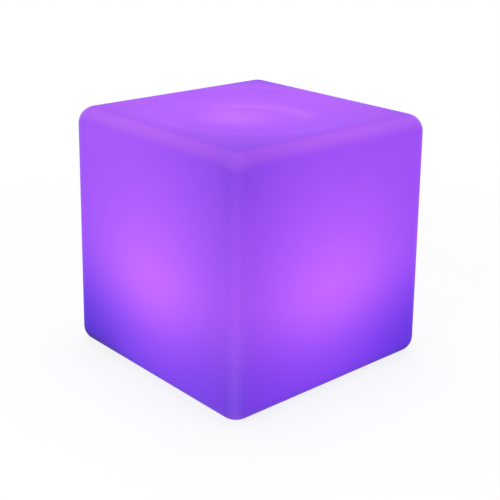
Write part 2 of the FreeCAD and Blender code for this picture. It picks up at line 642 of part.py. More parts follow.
def socket_nut():
    hexagon = [Vector(SOCKET_X + x, y, FLOOR_TOP) for x, y in around(6, SOCKET_NUT_FLATS / math.sqrt(3), 30)]
    nut = Part.Face(Part.makePolygon([*hexagon, hexagon[0]])).extrude(Vector(0, 0, SOCKET_NUT_T))
    return nut.cut(disc(SOCKET_BARREL_R + SNUG, FLOOR_TOP, FLOOR_TOP + SOCKET_NUT_T, SOCKET_X))


def socket_cap():
    """The rubber cap: a lid with a short tapered plug, a finger tab, and a rounded end at the living hinge."""
    lid = disc(CAP_R, CAP_BOTTOM, CAP_TOP, SOCKET_X)
    lid = lid.makeFillet(CAP_T / 3, flat_edges(lid, CAP_BOTTOM))
    tab_end = SOCKET_X - CAP_R - CAP_TAB_REACH
    tab = block(tab_end, SOCKET_X, -CAP_TAB_WIDTH / 2, CAP_TAB_WIDTH / 2, CAP_BOTTOM, CAP_TOP - CAP_T / 3)
    neck = block(SOCKET_X, HINGE_X, -CAP_NECK_WIDTH / 2, CAP_NECK_WIDTH / 2, CAP_BOTTOM, CAP_TOP)
    knuckle = Part.makeCylinder(
        CAP_T / 2, CAP_NECK_WIDTH, Vector(HINGE_X, -CAP_NECK_WIDTH / 2, HINGE_Z), Vector(0, 1, 0)
    )
    plug_r = SOCKET_BORE_R - SLIP
    plug = Part.makeCone(plug_r, plug_r - CAP_PLUG_TAPER, CAP_PLUG_LENGTH, Vector(SOCKET_X, 0, CAP_TOP))
    return join([lid, tab, neck, knuckle, plug])


def cap_anchor():
    """The fixed end of the cap's strap: a pad with a barbed stud through the flange floor."""
    pad = disc(CAP_STUD_PAD_R, CAP_BOTTOM, FLANGE_BOTTOM, STUD_X)
    edge = HINGE_X + CAP_T / 2 + CAP_HINGE_GAP
    neck = block(edge, STUD_X, -CAP_NECK_WIDTH / 2, CAP_NECK_WIDTH / 2, CAP_BOTTOM, FLANGE_BOTTOM)
    stud = disc(CAP_STUD_R, FLANGE_BOTTOM, FLOOR_TOP, STUD_X)
    barb = Part.makeCone(CAP_STUD_HEAD_R, CAP_STUD_R * 0.7, CAP_STUD_HEAD_T, Vector(STUD_X, 0, FLOOR_TOP))
    return join([pad, neck, stud, barb])


# --- Control board --------------------------------------------------------------------------------
def control_board():
    board = block(
        CONTROL_LEFT, CONTROL_RIGHT, -CONTROL_HALF_DEPTH, CONTROL_HALF_DEPTH, CONTROL_BOTTOM, CONTROL_TOP
    )
    for x, y in STANDOFF_POINTS:
        board = board.cut(disc(BOARD_SCREW[0] + SLIP, CONTROL_BOTTOM, CONTROL_TOP, x, y))
    return board


def board_screws():
    return [screw(BOARD_SCREW, x, y, CONTROL_TOP, -1) for x, y in STANDOFF_POINTS]


def board_chips():
    """Flat packages on the control board: controller, charger and four colour drivers."""
    places = [(CONTROLLER_CHIP, BUTTON_X, 0), (CHARGER_CHIP, 0, CHARGER_CHIP_Y)]
    for i in range(DRIVER_CHIP_COUNT):
        y = DRIVER_CHIP_PITCH * (i - (DRIVER_CHIP_COUNT - 1) / 2)
        places.append((DRIVER_CHIP, CONTROL_LEFT + DRIVER_CHIP_INSET, y))
    chips = []
    for (width, depth, height), x, y in places:
        half_x, half_y = width / 2, depth / 2
        chips.append(
            block(x - half_x, x + half_x, y - half_y, y + half_y, CONTROL_TOP, CONTROL_TOP + height)
        )
    return chips


def board_coil():
    """The charger's wound choke in its square ferrite."""
    half = COIL_SIZE / 2
    core = block(-half, half, COIL_Y - half, COIL_Y + half, CONTROL_TOP, CONTROL_TOP + COIL_HEIGHT)
    return core.makeChamfer(COIL_CORNER, [e for e in core.Edges if e.BoundBox.ZLength > COIL_HEIGHT / 2])


def board_capacitors():
    top, y = CONTROL_TOP + CAPACITOR_HEIGHT, CONTROL_HALF_DEPTH - CAPACITOR_BACK_GAP
    cans = []
    for inset in CAPACITOR_INSETS:
        can = disc(CAPACITOR_R, CONTROL_TOP, top, CONTROL_LEFT + inset, y)
        cans.append(can.makeFillet(CAPACITOR_R / 5, flat_edges(can, top)))
    return cans


def header(width, outward):
    """A wire header and its plug. The mouth looks along +Y for 1 and -Y for -1, from the board's edge at y = 0."""
    rear, base = -outward * HEADER_DEPTH, CONTROL_TOP
    low, high = sorted((rear, 0.0))
    shell = block(-width / 2, width / 2, low, high, base, base + HEADER_HEIGHT)
    inner = (-width / 2 + HEADER_SHELL, width / 2 - HEADER_SHELL)
    low, high = sorted((rear + outward * HEADER_SHELL, outward * HEADER_SHELL))
    roof = base + HEADER_HEIGHT - HEADER_SHELL
    shell = shell.cut(block(*inner, low, high, base + HEADER_SHELL, roof))
    low, high = sorted((rear + outward * (HEADER_SHELL + SLIP), outward * PLUG_REACH))
    plug = block(inner[0] + SLIP, inner[1] - SLIP, low, high, base + HEADER_SHELL + SLIP, roof - SLIP)
    return shell, plug


def headers_and_plugs():
    """The three headers and their plugs: LED harness at the back, battery in front, socket at the right."""
    wide = LED_WIRE_COUNT * WIRE_PITCH + 2 * (HEADER_SHELL + HEADER_END_GAP)
    shells, plugs = [], []
    for width, outward, turn, x, y in (
        (wide, 1, 0, LED_WIRE_X, CONTROL_HALF_DEPTH),
        (HEADER_WIDTH, -1, 0, BATTERY_WIRE_X, -CONTROL_HALF_DEPTH),
        (HEADER_WIDTH, -1, 90, CONTROL_RIGHT, SOCKET_WIRE_Y),
    ):
        for shape, group in zip(header(width, outward), (shells, plugs)):
            shape.rotate(Vector(0, 0, 0), UP, turn)
            shape.translate(Vector(x, y, 0))
            group.append(shape)
    return shells, plugs


# --- Battery --------------------------------------------------------------------------------------
CELL_PLACES = (-CELL_PITCH / 2, CELL_PITCH / 2)
STRAP_OUTER_HALF = CELL_PITCH / 2 + SLEEVED_R + SLIP + STRAP_T
STRAP_SCREW_X = STRAP_OUTER_HALF + STRAP_FOOT / 2
LED_WIRE_XS = [LED_WIRE_X + WIRE_PITCH * (i - (LED_WIRE_COUNT - 1) / 2) for i in range(LED_WIRE_COUNT)]
BATTERY_WIRE_XS = [BATTERY_WIRE_X - WIRE_PITCH / 2, BATTERY_WIRE_X + WIRE_PITCH / 2]


def wire_slot(xs, y, bottom, top, margin=SLOT_MARGIN):
    """The round-ended slot that a row of wires passes through."""
    half = WIRE_R + margin
    middle = block(xs[0], xs[-1], y - half, y + half, bottom, top)
    return join([middle, disc(half, bottom, top, xs[0], y), disc(half, bottom, top, xs[-1], y)])


def battery_tray():
    """A round tray on the pillars, with saddles that the cells lie in."""
    tray = disc(TRAY_R, TRAY_BOTTOM, TRAY_TOP)
    half_x = CELL_PITCH / 2 + SLEEVED_R
    for y in (-SADDLE_Y, SADDLE_Y):
        saddle = block(
            -half_x, half_x, y - SADDLE_T / 2, y + SADDLE_T / 2, TRAY_BOTTOM + SINK, TRAY_TOP + SADDLE_HEIGHT
        )
        tray = join([tray, saddle])
    for x in CELL_PLACES:
        start = Vector(x, -CELL_LENGTH / 2, CELL_AXIS_Z)
        tray = tray.cut(Part.makeCylinder(SLEEVED_R + SLIP, CELL_LENGTH, start, Vector(0, 1, 0)))
    bosses = [
        disc(STANDOFF_R, TRAY_BOTTOM - STRAP_SCREW[3], TRAY_BOTTOM + SINK, sx * STRAP_SCREW_X) for sx in (-1, 1)
    ]
    tray = join([tray, *bosses])
    for sx in (-1, 1):
        tray = tray.cut(pilot(STRAP_SCREW, sx * STRAP_SCREW_X, 0, TRAY_TOP - STRAP_SCREW[3] - TIP_GAP, TRAY_TOP))
    for x, y in PILLAR_POINTS:
        tray = tray.cut(disc(TRAY_SCREW[0] + SLIP, TRAY_BOTTOM, TRAY_TOP, x, y))
    tray = tray.cut(wire_slot(LED_WIRE_XS, LED_WIRE_RISE_Y, TRAY_BOTTOM, TRAY_TOP))
    return tray.cut(wire_slot(BATTERY_WIRE_XS, BATTERY_WIRE_RISE_Y, TRAY_BOTTOM, TRAY_TOP))


def tray_screws():
    return [screw(TRAY_SCREW, x, y, TRAY_TOP, -1) for x, y in PILLAR_POINTS]


def along_y(radius, y0, y1, x):
    return Part.makeCylinder(radius, y1 - y0, Vector(x, y0, CELL_AXIS_Z), Vector(0, 1, 0))


def battery_cells():
    """Two round cells side by side, with their positive nubs at the back."""
    cells, half = [], CELL_LENGTH / 2
    for x in CELL_PLACES:
        can = along_y(CELL_R, -half, half - CELL_NUB_HEIGHT, x)
        ends = [e for e in can.Edges if e.BoundBox.YLength < 1e-4]
        can = can.makeFillet(CELL_R / 12, ends)
        cells.append(join([can, along_y(CELL_NUB_R, 0, half, x)]))
    return cells


def cell_sleeves():
    half = CELL_LENGTH / 2 - SLEEVE_END_GAP
    return [
        along_y(SLEEVED_R, -half, half, x).cut(along_y(CELL_R + SNUG, -half, half, x)) for x in CELL_PLACES
    ]


def nickel_strips():
    """The welded strips that join the two cells at each end."""
    half_x, half_z, half_y = CELL_PITCH / 2 + CELL_NUB_R + STRIP_END, STRIP_WIDTH / 2, CELL_LENGTH / 2
    low, high = CELL_AXIS_Z - half_z, CELL_AXIS_Z + half_z
    return [
        block(-half_x, half_x, -half_y - STRIP_T, -half_y, low, high),
        block(-half_x, half_x, half_y, half_y + STRIP_T, low, high),
    ]


def pack_board():
    half_x, half_z = PACK_BOARD_WIDTH / 2, PACK_BOARD_HEIGHT / 2
    face = PACK_BOARD_FACE_Y
    return block(-half_x, half_x, face, face + PACK_BOARD_T, CELL_AXIS_Z - half_z, CELL_AXIS_Z + half_z)


def battery_strap():
    """A bent metal strap over both cells, screwed down to the tray at each end."""
    inner_half = STRAP_OUTER_HALF - STRAP_T
    top = CELL_AXIS_Z + SLEEVED_R + SLIP + STRAP_T
    half_y = STRAP_WIDTH / 2

    def hoop(half, roof, corner_r):
        body = block(-half, half, -half_y, half_y, TRAY_TOP, roof)
        return body.makeFillet(corner_r, [e for e in flat_edges(body, roof) if e.BoundBox.YLength > half_y])

    corner_r = CELL_R * 0.9
    strap = hoop(STRAP_OUTER_HALF, top, corner_r + STRAP_T).cut(hoop(inner_half, top - STRAP_T, corner_r))
    feet = []
    for sx in (-1, 1):
        low, high = sorted((sx * (STRAP_OUTER_HALF - STRAP_T), sx * (STRAP_OUTER_HALF + STRAP_FOOT)))
        feet.append(block(low, high, -half_y, half_y, TRAY_TOP, TRAY_TOP + STRAP_T))
    strap = join([strap, *feet])
    for sx in (-1, 1):
        strap = strap.cut(disc(STRAP_SCREW[0] + SLIP, TRAY_TOP, TRAY_TOP + STRAP_T, sx * STRAP_SCREW_X))
    return strap


def strap_screws():
    return [screw(STRAP_SCREW, sx * STRAP_SCREW_X, 0, TRAY_TOP + STRAP_T, -1) for sx in (-1, 1)]


# --- Can and dome ---------------------------------------------------------------------------------
LED_SCREW_POINTS = around(4, LED_SCREW_PCR, 45)
DOME_SCREW_Z = (SPIGOT_BOTTOM + CAN_TOP) / 2
SPIGOT_R = CAN_R - DOME_WALL - SLIP
GROMMET_MARGIN = 0.4  # from the wires to the rubber


def radial_screw_hole(angle, radius, start, end):
    hole = Part.makeCylinder(radius, end - start, Vector(start, 0, DOME_SCREW_Z), Vector(1, 0, 0))
    hole.rotate(Vector(0, 0, 0), UP, angle)
    return hole


def dome_screw_angles():
    return [30 + 360.0 * i / DOME_SCREW_COUNT for i in range(DOME_SCREW_COUNT)]


def module_can():
    """The can over the boards: it stands on the flange, carries the LED board, and has a spigot for the dome."""
    can = join([disc(CAN_R, FLANGE_TOP, SPIGOT_BOTTOM), disc(SPIGOT_R, FLANGE_TOP, CAN_TOP)])
    inner_r = CAN_R - CAN_WALL
    can = can.cut(disc(inner_r, FLANGE_TOP, SPIGOT_BOTTOM - CAN_WALL))
    can = can.cut(disc(SPIGOT_R - CAN_WALL, FLANGE_TOP, CAN_CEILING))
    bits = [
        disc(CAN_BOSS_R, FLANGE_TOP, FLANGE_TOP + CAN_BOSS_HEIGHT, x, y) for x, y in CAN_SCREW_POINTS
    ]
    for x, y in CAN_SCREW_POINTS:
        reach, half = CAN_R - CAN_WALL / 2 - CAN_BOSS_PCR, CAN_BOSS_WEB_T / 2
        web = block(0, reach, -half, half, FLANGE_TOP, FLANGE_TOP + CAN_BOSS_HEIGHT)
        web.rotate(Vector(0, 0, 0), UP, math.degrees(math.atan2(y, x)))
        web.translate(Vector(x, y, 0))
        bits.append(web)
    bits += [
        disc(CAN_BOSS_R, CAN_CEILING - LED_BOSS_DEPTH, CAN_CEILING + CAN_WALL / 2, x, y)
        for x, y in LED_SCREW_POINTS
    ]
    for angle in dome_screw_angles():
        half = DOME_BLOCK_SIZE / 2
        near, far = SPIGOT_R - CAN_WALL - half, SPIGOT_R - CAN_WALL / 2
        pad = block(near, far, -half, half, DOME_SCREW_Z - half, CAN_CEILING + CAN_WALL / 2)
        pad.rotate(Vector(0, 0, 0), UP, angle)
        bits.append(pad)
    can = join([can, *bits])
    for x, y in CAN_SCREW_POINTS:
        can = can.cut(pilot(CAN_SCREW, x, y, FLANGE_TOP, FLANGE_BOTTOM + CAN_SCREW[3] + TIP_GAP))
    for x, y in LED_SCREW_POINTS:
        can = can.cut(pilot(LED_SCREW, x, y, LED_BOARD_TOP - LED_SCREW[3] - TIP_GAP, CAN_TOP))
    for angle in dome_screw_angles():
        start = CAN_R - DOME_SCREW[3] - TIP_GAP
        can = can.cut(radial_screw_hole(angle, DOME_SCREW[0] + THREAD_GAP, start, CAN_R))
    return can.cut(wire_slot(LED_WIRE_XS, LED_WIRE_RISE_Y, CAN_CEILING, CAN_TOP))


def can_screws():
    return [screw(CAN_SCREW, x, y, FLANGE_BOTTOM, 1, True) for x, y in CAN_SCREW_POINTS]


def can_seal():
    seal = ring(
        SEAL_R - SEAL_WIDTH / 2 + SNUG, SEAL_R + SEAL_WIDTH / 2 - SNUG,
        FLANGE_TOP - SEAL_DEPTH + SNUG, FLANGE_TOP,
    )
    return seal.makeFillet(SEAL_DEPTH / 4, flat_edges(seal, FLANGE_TOP - SEAL_DEPTH + SNUG))


def wire_grommet():
    """The rubber grommet that lines the can's slot, lipped below the ceiling."""
    plug = wire_slot(LED_WIRE_XS, LED_WIRE_RISE_Y, CAN_CEILING, CAN_TOP, SLOT_MARGIN - SNUG)
    lip = wire_slot(
        LED_WIRE_XS, LED_WIRE_RISE_Y, CAN_CEILING - GROMMET_LIP_T, CAN_CEILING, SLOT_MARGIN + GROMMET_FLANGE
    )
    hole = wire_slot(LED_WIRE_XS, LED_WIRE_RISE_Y, CAN_CEILING - GROMMET_LIP_T, CAN_TOP, GROMMET_MARGIN)
    return join([plug, lip]).cut(hole)


def diffuser_dome():
    """The milky dome: a skirt that slips over the can's spigot, and a round crown."""
    turn = math.radians(DOME_SHOULDER_TURN)
    centre_x = CAN_R - DOME_SHOULDER_R
    crown_r = DOME_SHOULDER_R + centre_x / math.cos(turn)
    crown_centre_z = SPIGOT_BOTTOM + DOME_HEIGHT - crown_r
    shoulder_z = crown_centre_z + centre_x * math.tan(turn)

    def shoulder(angle, inset):
        r = DOME_SHOULDER_R - inset
        return Vector(centre_x + r * math.cos(angle), 0, shoulder_z + r * math.sin(angle))

    def crown(angle, inset):
        r = crown_r - inset
        return Vector(r * math.cos(angle), 0, crown_centre_z + r * math.sin(angle))

    def profile(inset):
        upright, half_turn = (turn + math.pi / 2) / 2, math.pi / 2
        return [
            Part.LineSegment(Vector(CAN_R - inset, 0, SPIGOT_BOTTOM), shoulder(0, inset)).toShape(),
            Part.Arc(shoulder(0, inset), shoulder(turn / 2, inset), shoulder(turn, inset)).toShape(),
            Part.Arc(shoulder(turn, inset), crown(upright, inset), crown(half_turn, inset)).toShape(),
        ]

    apex, foot = SPIGOT_BOTTOM + DOME_HEIGHT, Vector(CAN_R - DOME_WALL, 0, SPIGOT_BOTTOM)
    closing = [
        Part.LineSegment(Vector(0, 0, apex), Vector(0, 0, apex - DOME_WALL)).toShape(),
        Part.LineSegment(foot, Vector(CAN_R, 0, SPIGOT_BOTTOM)).toShape(),
    ]
    outline = Part.Wire(Part.__sortEdges__(profile(0) + closing + profile(DOME_WALL)))
    dome = Part.Face(outline).revolve(Vector(0, 0, 0), UP, 360)
    shank_r, head_r, head_h, _ = DOME_SCREW
    for angle in dome_screw_angles():
        dome = dome.cut(radial_screw_hole(angle, shank_r + SLIP, SPIGOT_R - 1, CAN_R + 1))
        start = Vector(CAN_R - head_h, 0, DOME_SCREW_Z)
        sink = Part.makeCone(shank_r + SLIP, 2 * head_r - shank_r + SLIP, 2 * head_h, start, Vector(1, 0, 0))
        sink.rotate(Vector(0, 0, 0), UP, angle)
        dome = dome.cut(sink)
    return dome


def dome_screws():
    """Small countersunk screws that hold the dome's skirt to the can."""
    screws = []
    for angle in dome_screw_angles():
        body = screw(DOME_SCREW, 0, 0, 0, 1, True)
        body.rotate(Vector(0, 0, 0), Vector(0, 1, 0), -90)
        body.translate(Vector(CAN_R - SLIP, 0, DOME_SCREW_Z))
        body.rotate(Vector(0, 0, 0), UP, angle)
        screws.append(body)
    return screws


# --- LED board ------------------------------------------------------------------------------------
def screwed_disc(radius, bottom, top, slot_margin):
    """A round plate with the LED board's screw holes and the slot for its wires."""
    plate = disc(radius, bottom, top)
    for x, y in LED_SCREW_POINTS:
        plate = plate.cut(disc(LED_SCREW[0] + SLIP, bottom, top, x, y))
    return plate.cut(wire_slot(LED_WIRE_XS, LED_WIRE_RISE_Y, bottom, top, slot_margin))


def led_board():
    """The round circuit board. The harness wires end in its plated holes."""
    board = disc(LED_BOARD_R, LED_BOARD_BOTTOM, LED_BOARD_TOP)
    for x, y in LED_SCREW_POINTS:
        board = board.cut(disc(LED_SCREW[0] + SLIP, LED_BOARD_BOTTOM, LED_BOARD_TOP, x, y))
    for x in LED_WIRE_XS:
        board = board.cut(disc(WIRE_R + SNUG, LED_BOARD_BOTTOM, LED_BOARD_TOP, x, LED_WIRE_RISE_Y))
    return board


def led_places():
    """Each LED's place and how it is turned."""
    rings = ((LED_OUTER_COUNT, LED_OUTER_PCR, 15.0), (LED_INNER_COUNT, LED_INNER_PCR, 0.0))
    return [
        (x, y, math.degrees(math.atan2(y, x)))
        for count, radius, start in rings
        for x, y in around(count, radius, start)
    ]


def led_packages():
    """The square LED housings, each with a round well for its window."""
    housings, half = [], LED_SIZE / 2
    for x, y, turn in led_places():
        top = LED_BOARD_TOP + LED_HEIGHT
        body = block(-half, half, -half, half, LED_BOARD_TOP, top)
        body = body.cut(disc(LED_WINDOW_R, top - LED_HEIGHT / 2, top))
        body.rotate(Vector(0, 0, 0), UP, turn)
        body.translate(Vector(x, y, 0))
        housings.append(body)
    return housings


def led_windows():
    top = LED_BOARD_TOP + LED_HEIGHT
    low, high = top - LED_HEIGHT / 2, top + LED_WINDOW_RISE
    return [disc(LED_WINDOW_R - SNUG, low, high, x, y) for x, y, _ in led_places()]


def led_screws():
    return [screw(LED_SCREW, x, y, LED_BOARD_TOP, -1) for x, y in LED_SCREW_POINTS]


def infrared_eye():
    """The receiver for the remote control: a block with a round lens, on three legs."""
    bottom = LED_BOARD_TOP + EYE_LEG_LENGTH
    body = block(-EYE_WIDTH / 2, EYE_WIDTH / 2, -EYE_DEPTH / 2, EYE_DEPTH / 2, bottom, bottom + EYE_HEIGHT)
    lens = Part.makeSphere(EYE_LENS_R, Vector(0, 0, bottom + EYE_HEIGHT - EYE_LENS_R / 2))
    legs = [disc(EYE_LEG_R, LED_BOARD_TOP, bottom + SINK, i * EYE_LEG_PITCH) for i in (-1, 0, 1)]
    return join([body, lens, *legs])


# --- Wires ----------------------------------------------------------------------------------------
def led_harness():
    """Five wires from the control board's header, up through tray, grommet and spreader to the LED board."""
    start_y = CONTROL_HALF_DEPTH + PLUG_REACH
    wires = []
    for x in LED_WIRE_XS:
        points = [
            Vector(x, start_y, WIRE_LEVEL),
            Vector(x, LED_WIRE_RISE_Y, WIRE_LEVEL),
            Vector(x, LED_WIRE_RISE_Y, LED_BOARD_TOP + LED_WINDOW_RISE),
        ]
        wires.append(tube_along(points, WIRE_R, WIRE_BEND_R))
    return wires


def battery_wire(x):
    """One wire from the pack's protection board down through the tray to the control board's header."""
    solder_z = CELL_AXIS_Z - PACK_BOARD_HEIGHT / 4
    points = [
        Vector(x, -CONTROL_HALF_DEPTH - PLUG_REACH, WIRE_LEVEL),
        Vector(x, BATTERY_WIRE_RISE_Y, WIRE_LEVEL),
        Vector(x, BATTERY_WIRE_RISE_Y, solder_z),
        Vector(x, PACK_BOARD_FACE_Y, solder_z),
    ]
    return tube_along(points, WIRE_R, WIRE_BEND_R)


def socket_wire(tab_x, plug_y):
    """One wire from the header at the board's right edge to a tab at the back of the charging socket."""
    tab_edge = -SOCKET_TAB_SPACING * 0.4
    points = [
        Vector(CONTROL_RIGHT + PLUG_REACH, plug_y, WIRE_LEVEL),
        Vector(tab_x, plug_y, WIRE_LEVEL),
        Vector(tab_x, tab_edge, WIRE_LEVEL),
    ]
    return tube_along(points, WIRE_R, WIRE_BEND_R)


# --- Writing the parts ----------------------------------------------------------------------------
def save(name, shape):
    """Writes one node. A list becomes a group of separate solids."""
    if isinstance(shape, list):
        shape = Part.makeCompound(shape)
    if not shape.isValid() or not shape.Solids:
        raise ValueError(f"{name} is not a valid solid")
    if not isinstance(shape, Part.Compound) and len(shape.Solids) == 1:
        shape = shape.Solids[0]
    shape.exportStep(f"parts/{name}.step")
    print(f"{name}: {len(shape.Solids)} solid(s), {shape.Volume / 1000:.2f} cm3")


def main():
    os.makedirs("parts", exist_ok=True)
    shells, plugs = headers_and_plugs()
    tab_left, tab_right = socket_tab_places()
    save("cube_shell", cube_shell())
    save("screw_inserts", screw_inserts())
    save("foot_pads", foot_pads())
    save("foot_screws", foot_screws())
    save("flange_plate", flange_plate())
    save("flange_gasket", flange_gasket())
    save("flange_screws", flange_screws())
    save("power_button", power_button())
    save("button_boot", button_boot())
    save("switch_body", switch_body())
    save("switch_plunger", switch_plunger())
    save("light_pipe", light_pipe())
    save("charge_led", charge_led())
    save("socket_body", socket_body())
    save("socket_contacts", socket_contacts())
    save("socket_nut", socket_nut())
    save("socket_cap", socket_cap())
    save("cap_anchor", cap_anchor())
    save("control_board", control_board())
    save("board_screws", board_screws())
    save("board_chips", board_chips())
    save("board_coil", board_coil())
    save("board_capacitors", board_capacitors())
    save("wire_headers", shells)
    save("wire_plugs", plugs)
    save("battery_tray", battery_tray())
    save("tray_screws", tray_screws())
    save("battery_cells", battery_cells())
    save("cell_sleeves", cell_sleeves())
    save("nickel_strips", nickel_strips())
    save("pack_board", pack_board())
    save("battery_strap", battery_strap())
    save("strap_screws", strap_screws())
    save("module_can", module_can())
    save("can_screws", can_screws())
    save("can_seal", can_seal())
    save("wire_grommet", wire_grommet())
    save("heat_spreader", screwed_disc(SPREADER_R, CAN_TOP, LED_BOARD_BOTTOM, SLOT_MARGIN))
    save("led_board", led_board())
    save("led_packages", led_packages())
    save("led_windows", led_windows())
    save("led_screws", led_screws())
    save("infrared_eye", infrared_eye())
    save("diffuser_dome", diffuser_dome())
    save("dome_screws", dome_screws())
    save("led_harness", led_harness())
    save("battery_wire_red", battery_wire(BATTERY_WIRE_XS[0]))
    save("battery_wire_black", battery_wire(BATTERY_WIRE_XS[1]))
    save("socket_wire_red", socket_wire(tab_left, SOCKET_WIRE_Y + WIRE_PITCH / 2))
    save("socket_wire_black", socket_wire(tab_right, SOCKET_WIRE_Y - WIRE_PITCH / 2))


main()
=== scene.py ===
# %% [markdown]
# # A glowing cube, dressed round its packed frame
#
# The object is a garden light: a hollow cube moulded from milky plastic, lit from inside by a lamp module
# in its base. Its packed CAD model comes in first and never moves. The cells below add the camera, a finely
# rounded cube in place of the CAD one, a finish for every piece inside and underneath, and last the floor,
# the room and lamps.

import json
import math

import bmesh
import bpy
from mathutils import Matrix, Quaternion, Vector


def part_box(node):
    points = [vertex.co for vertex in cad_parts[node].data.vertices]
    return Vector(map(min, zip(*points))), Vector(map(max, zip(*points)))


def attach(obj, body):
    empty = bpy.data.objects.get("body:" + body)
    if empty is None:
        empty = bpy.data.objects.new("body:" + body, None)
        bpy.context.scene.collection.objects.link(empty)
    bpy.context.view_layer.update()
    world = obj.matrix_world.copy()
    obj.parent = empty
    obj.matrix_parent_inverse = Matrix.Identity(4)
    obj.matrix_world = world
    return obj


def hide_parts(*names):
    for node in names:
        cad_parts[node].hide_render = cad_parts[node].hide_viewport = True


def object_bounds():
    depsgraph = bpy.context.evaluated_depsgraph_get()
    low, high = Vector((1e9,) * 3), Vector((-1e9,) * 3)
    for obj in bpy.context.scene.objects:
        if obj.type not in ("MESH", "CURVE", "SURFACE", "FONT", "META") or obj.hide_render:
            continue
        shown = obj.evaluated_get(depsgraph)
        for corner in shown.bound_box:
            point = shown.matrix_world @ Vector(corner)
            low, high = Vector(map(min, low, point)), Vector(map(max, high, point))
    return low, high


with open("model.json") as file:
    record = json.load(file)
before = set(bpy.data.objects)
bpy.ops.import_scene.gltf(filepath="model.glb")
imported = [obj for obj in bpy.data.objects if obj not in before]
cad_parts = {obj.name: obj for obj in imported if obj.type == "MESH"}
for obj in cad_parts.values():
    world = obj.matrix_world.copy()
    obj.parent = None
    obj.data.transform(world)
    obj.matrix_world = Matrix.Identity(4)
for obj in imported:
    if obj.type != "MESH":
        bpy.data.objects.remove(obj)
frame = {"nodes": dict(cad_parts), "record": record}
nodes = frame["nodes"]
cad_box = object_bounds()

# %% [markdown]
# ## The camera
#
# A picture can be matched by eye, by nudging the camera, or by measuring. Here the cube's outline was
# measured in the picture, and the camera that gives that outline was solved for. It stands a little over
# four cube widths away, looks down by about twenty degrees, and is rolled by less than one degree. The
# Standard view transform shows each colour as it is written, so that white paper stays white.

# %% Place the camera
camera_place = Vector((-1.01237, -1.14046, 0.73722))
camera_direction = Vector((0.623363, 0.699030, -0.350395))
camera_roll = math.radians(0.729)
sensor_width = 36.0  # millimetres, as the focal length is
focal_length = 73.38

camera_data = bpy.data.cameras.new("camera")
camera_data.sensor_width = sensor_width
camera_data.lens = focal_length
camera = bpy.data.objects.new("camera", camera_data)
bpy.context.scene.collection.objects.link(camera)
camera.rotation_mode = "QUATERNION"
camera.rotation_quaternion = camera_direction.to_track_quat("-Z", "Y") @ Quaternion((0, 0, 1), camera_roll)
camera.location = camera_place
bpy.context.scene.camera = camera
bpy.context.scene.view_settings.view_transform = "Standard"
print("camera stands", round(camera_place.length, 3), "m from the middle of the base")

# %% [markdown]
# ## Writing a finish as sums
#
# A procedural finish is a small net of nodes. Wiring it socket by socket hides the idea, so a small class
# wraps a socket and lets Python's own signs add the Math nodes: `1 - mask * 0.5` is two nodes, written as
# it is thought.

# %% A wrapped socket
class Amount:
    """A number that changes over a surface. Python's signs on it add Math nodes."""

    def __init__(self, finish, socket):
        self.finish = finish
        self.socket = socket

    def __add__(self, other):
        return self.finish.maths("ADD", self, other)

    def __sub__(self, other):
        return self.finish.maths("SUBTRACT", self, other)

    def __rsub__(self, other):
        return self.finish.maths("SUBTRACT", other, self)

    def __mul__(self, other):
        return self.finish.maths("MULTIPLY", self, other)

    def __truediv__(self, other):
        return self.finish.maths("DIVIDE", self, other)

    def __pow__(self, other):
        return self.finish.maths("POWER", self, other)

    def __neg__(self):
        return self * -1

    def __abs__(self):
        return self.finish.maths("ABSOLUTE", self)

    __radd__ = __add__
    __rmul__ = __mul__


def socket_or_number(value):
    """The socket inside a wrapped value, or the plain value."""
    return value.socket if isinstance(value, Amount) else value


def rgba(value):
    """A colour written with three numbers, given its fourth. Anything else is left alone."""
    return (*value, 1.0) if isinstance(value, (tuple, list)) and len(value) == 3 else value


signs = [name.strip("_") for name, made in vars(Amount).items() if callable(made) and name != "__init__"]
print("signs that add nodes:", signs)

# %% [markdown]
# Any other node comes from one method, which takes the node's type, its settings and its inputs. The
# methods after it are the handful of nodes that nearly every finish needs: a soft step, a cloud, a mix of
# two colours, a bump.

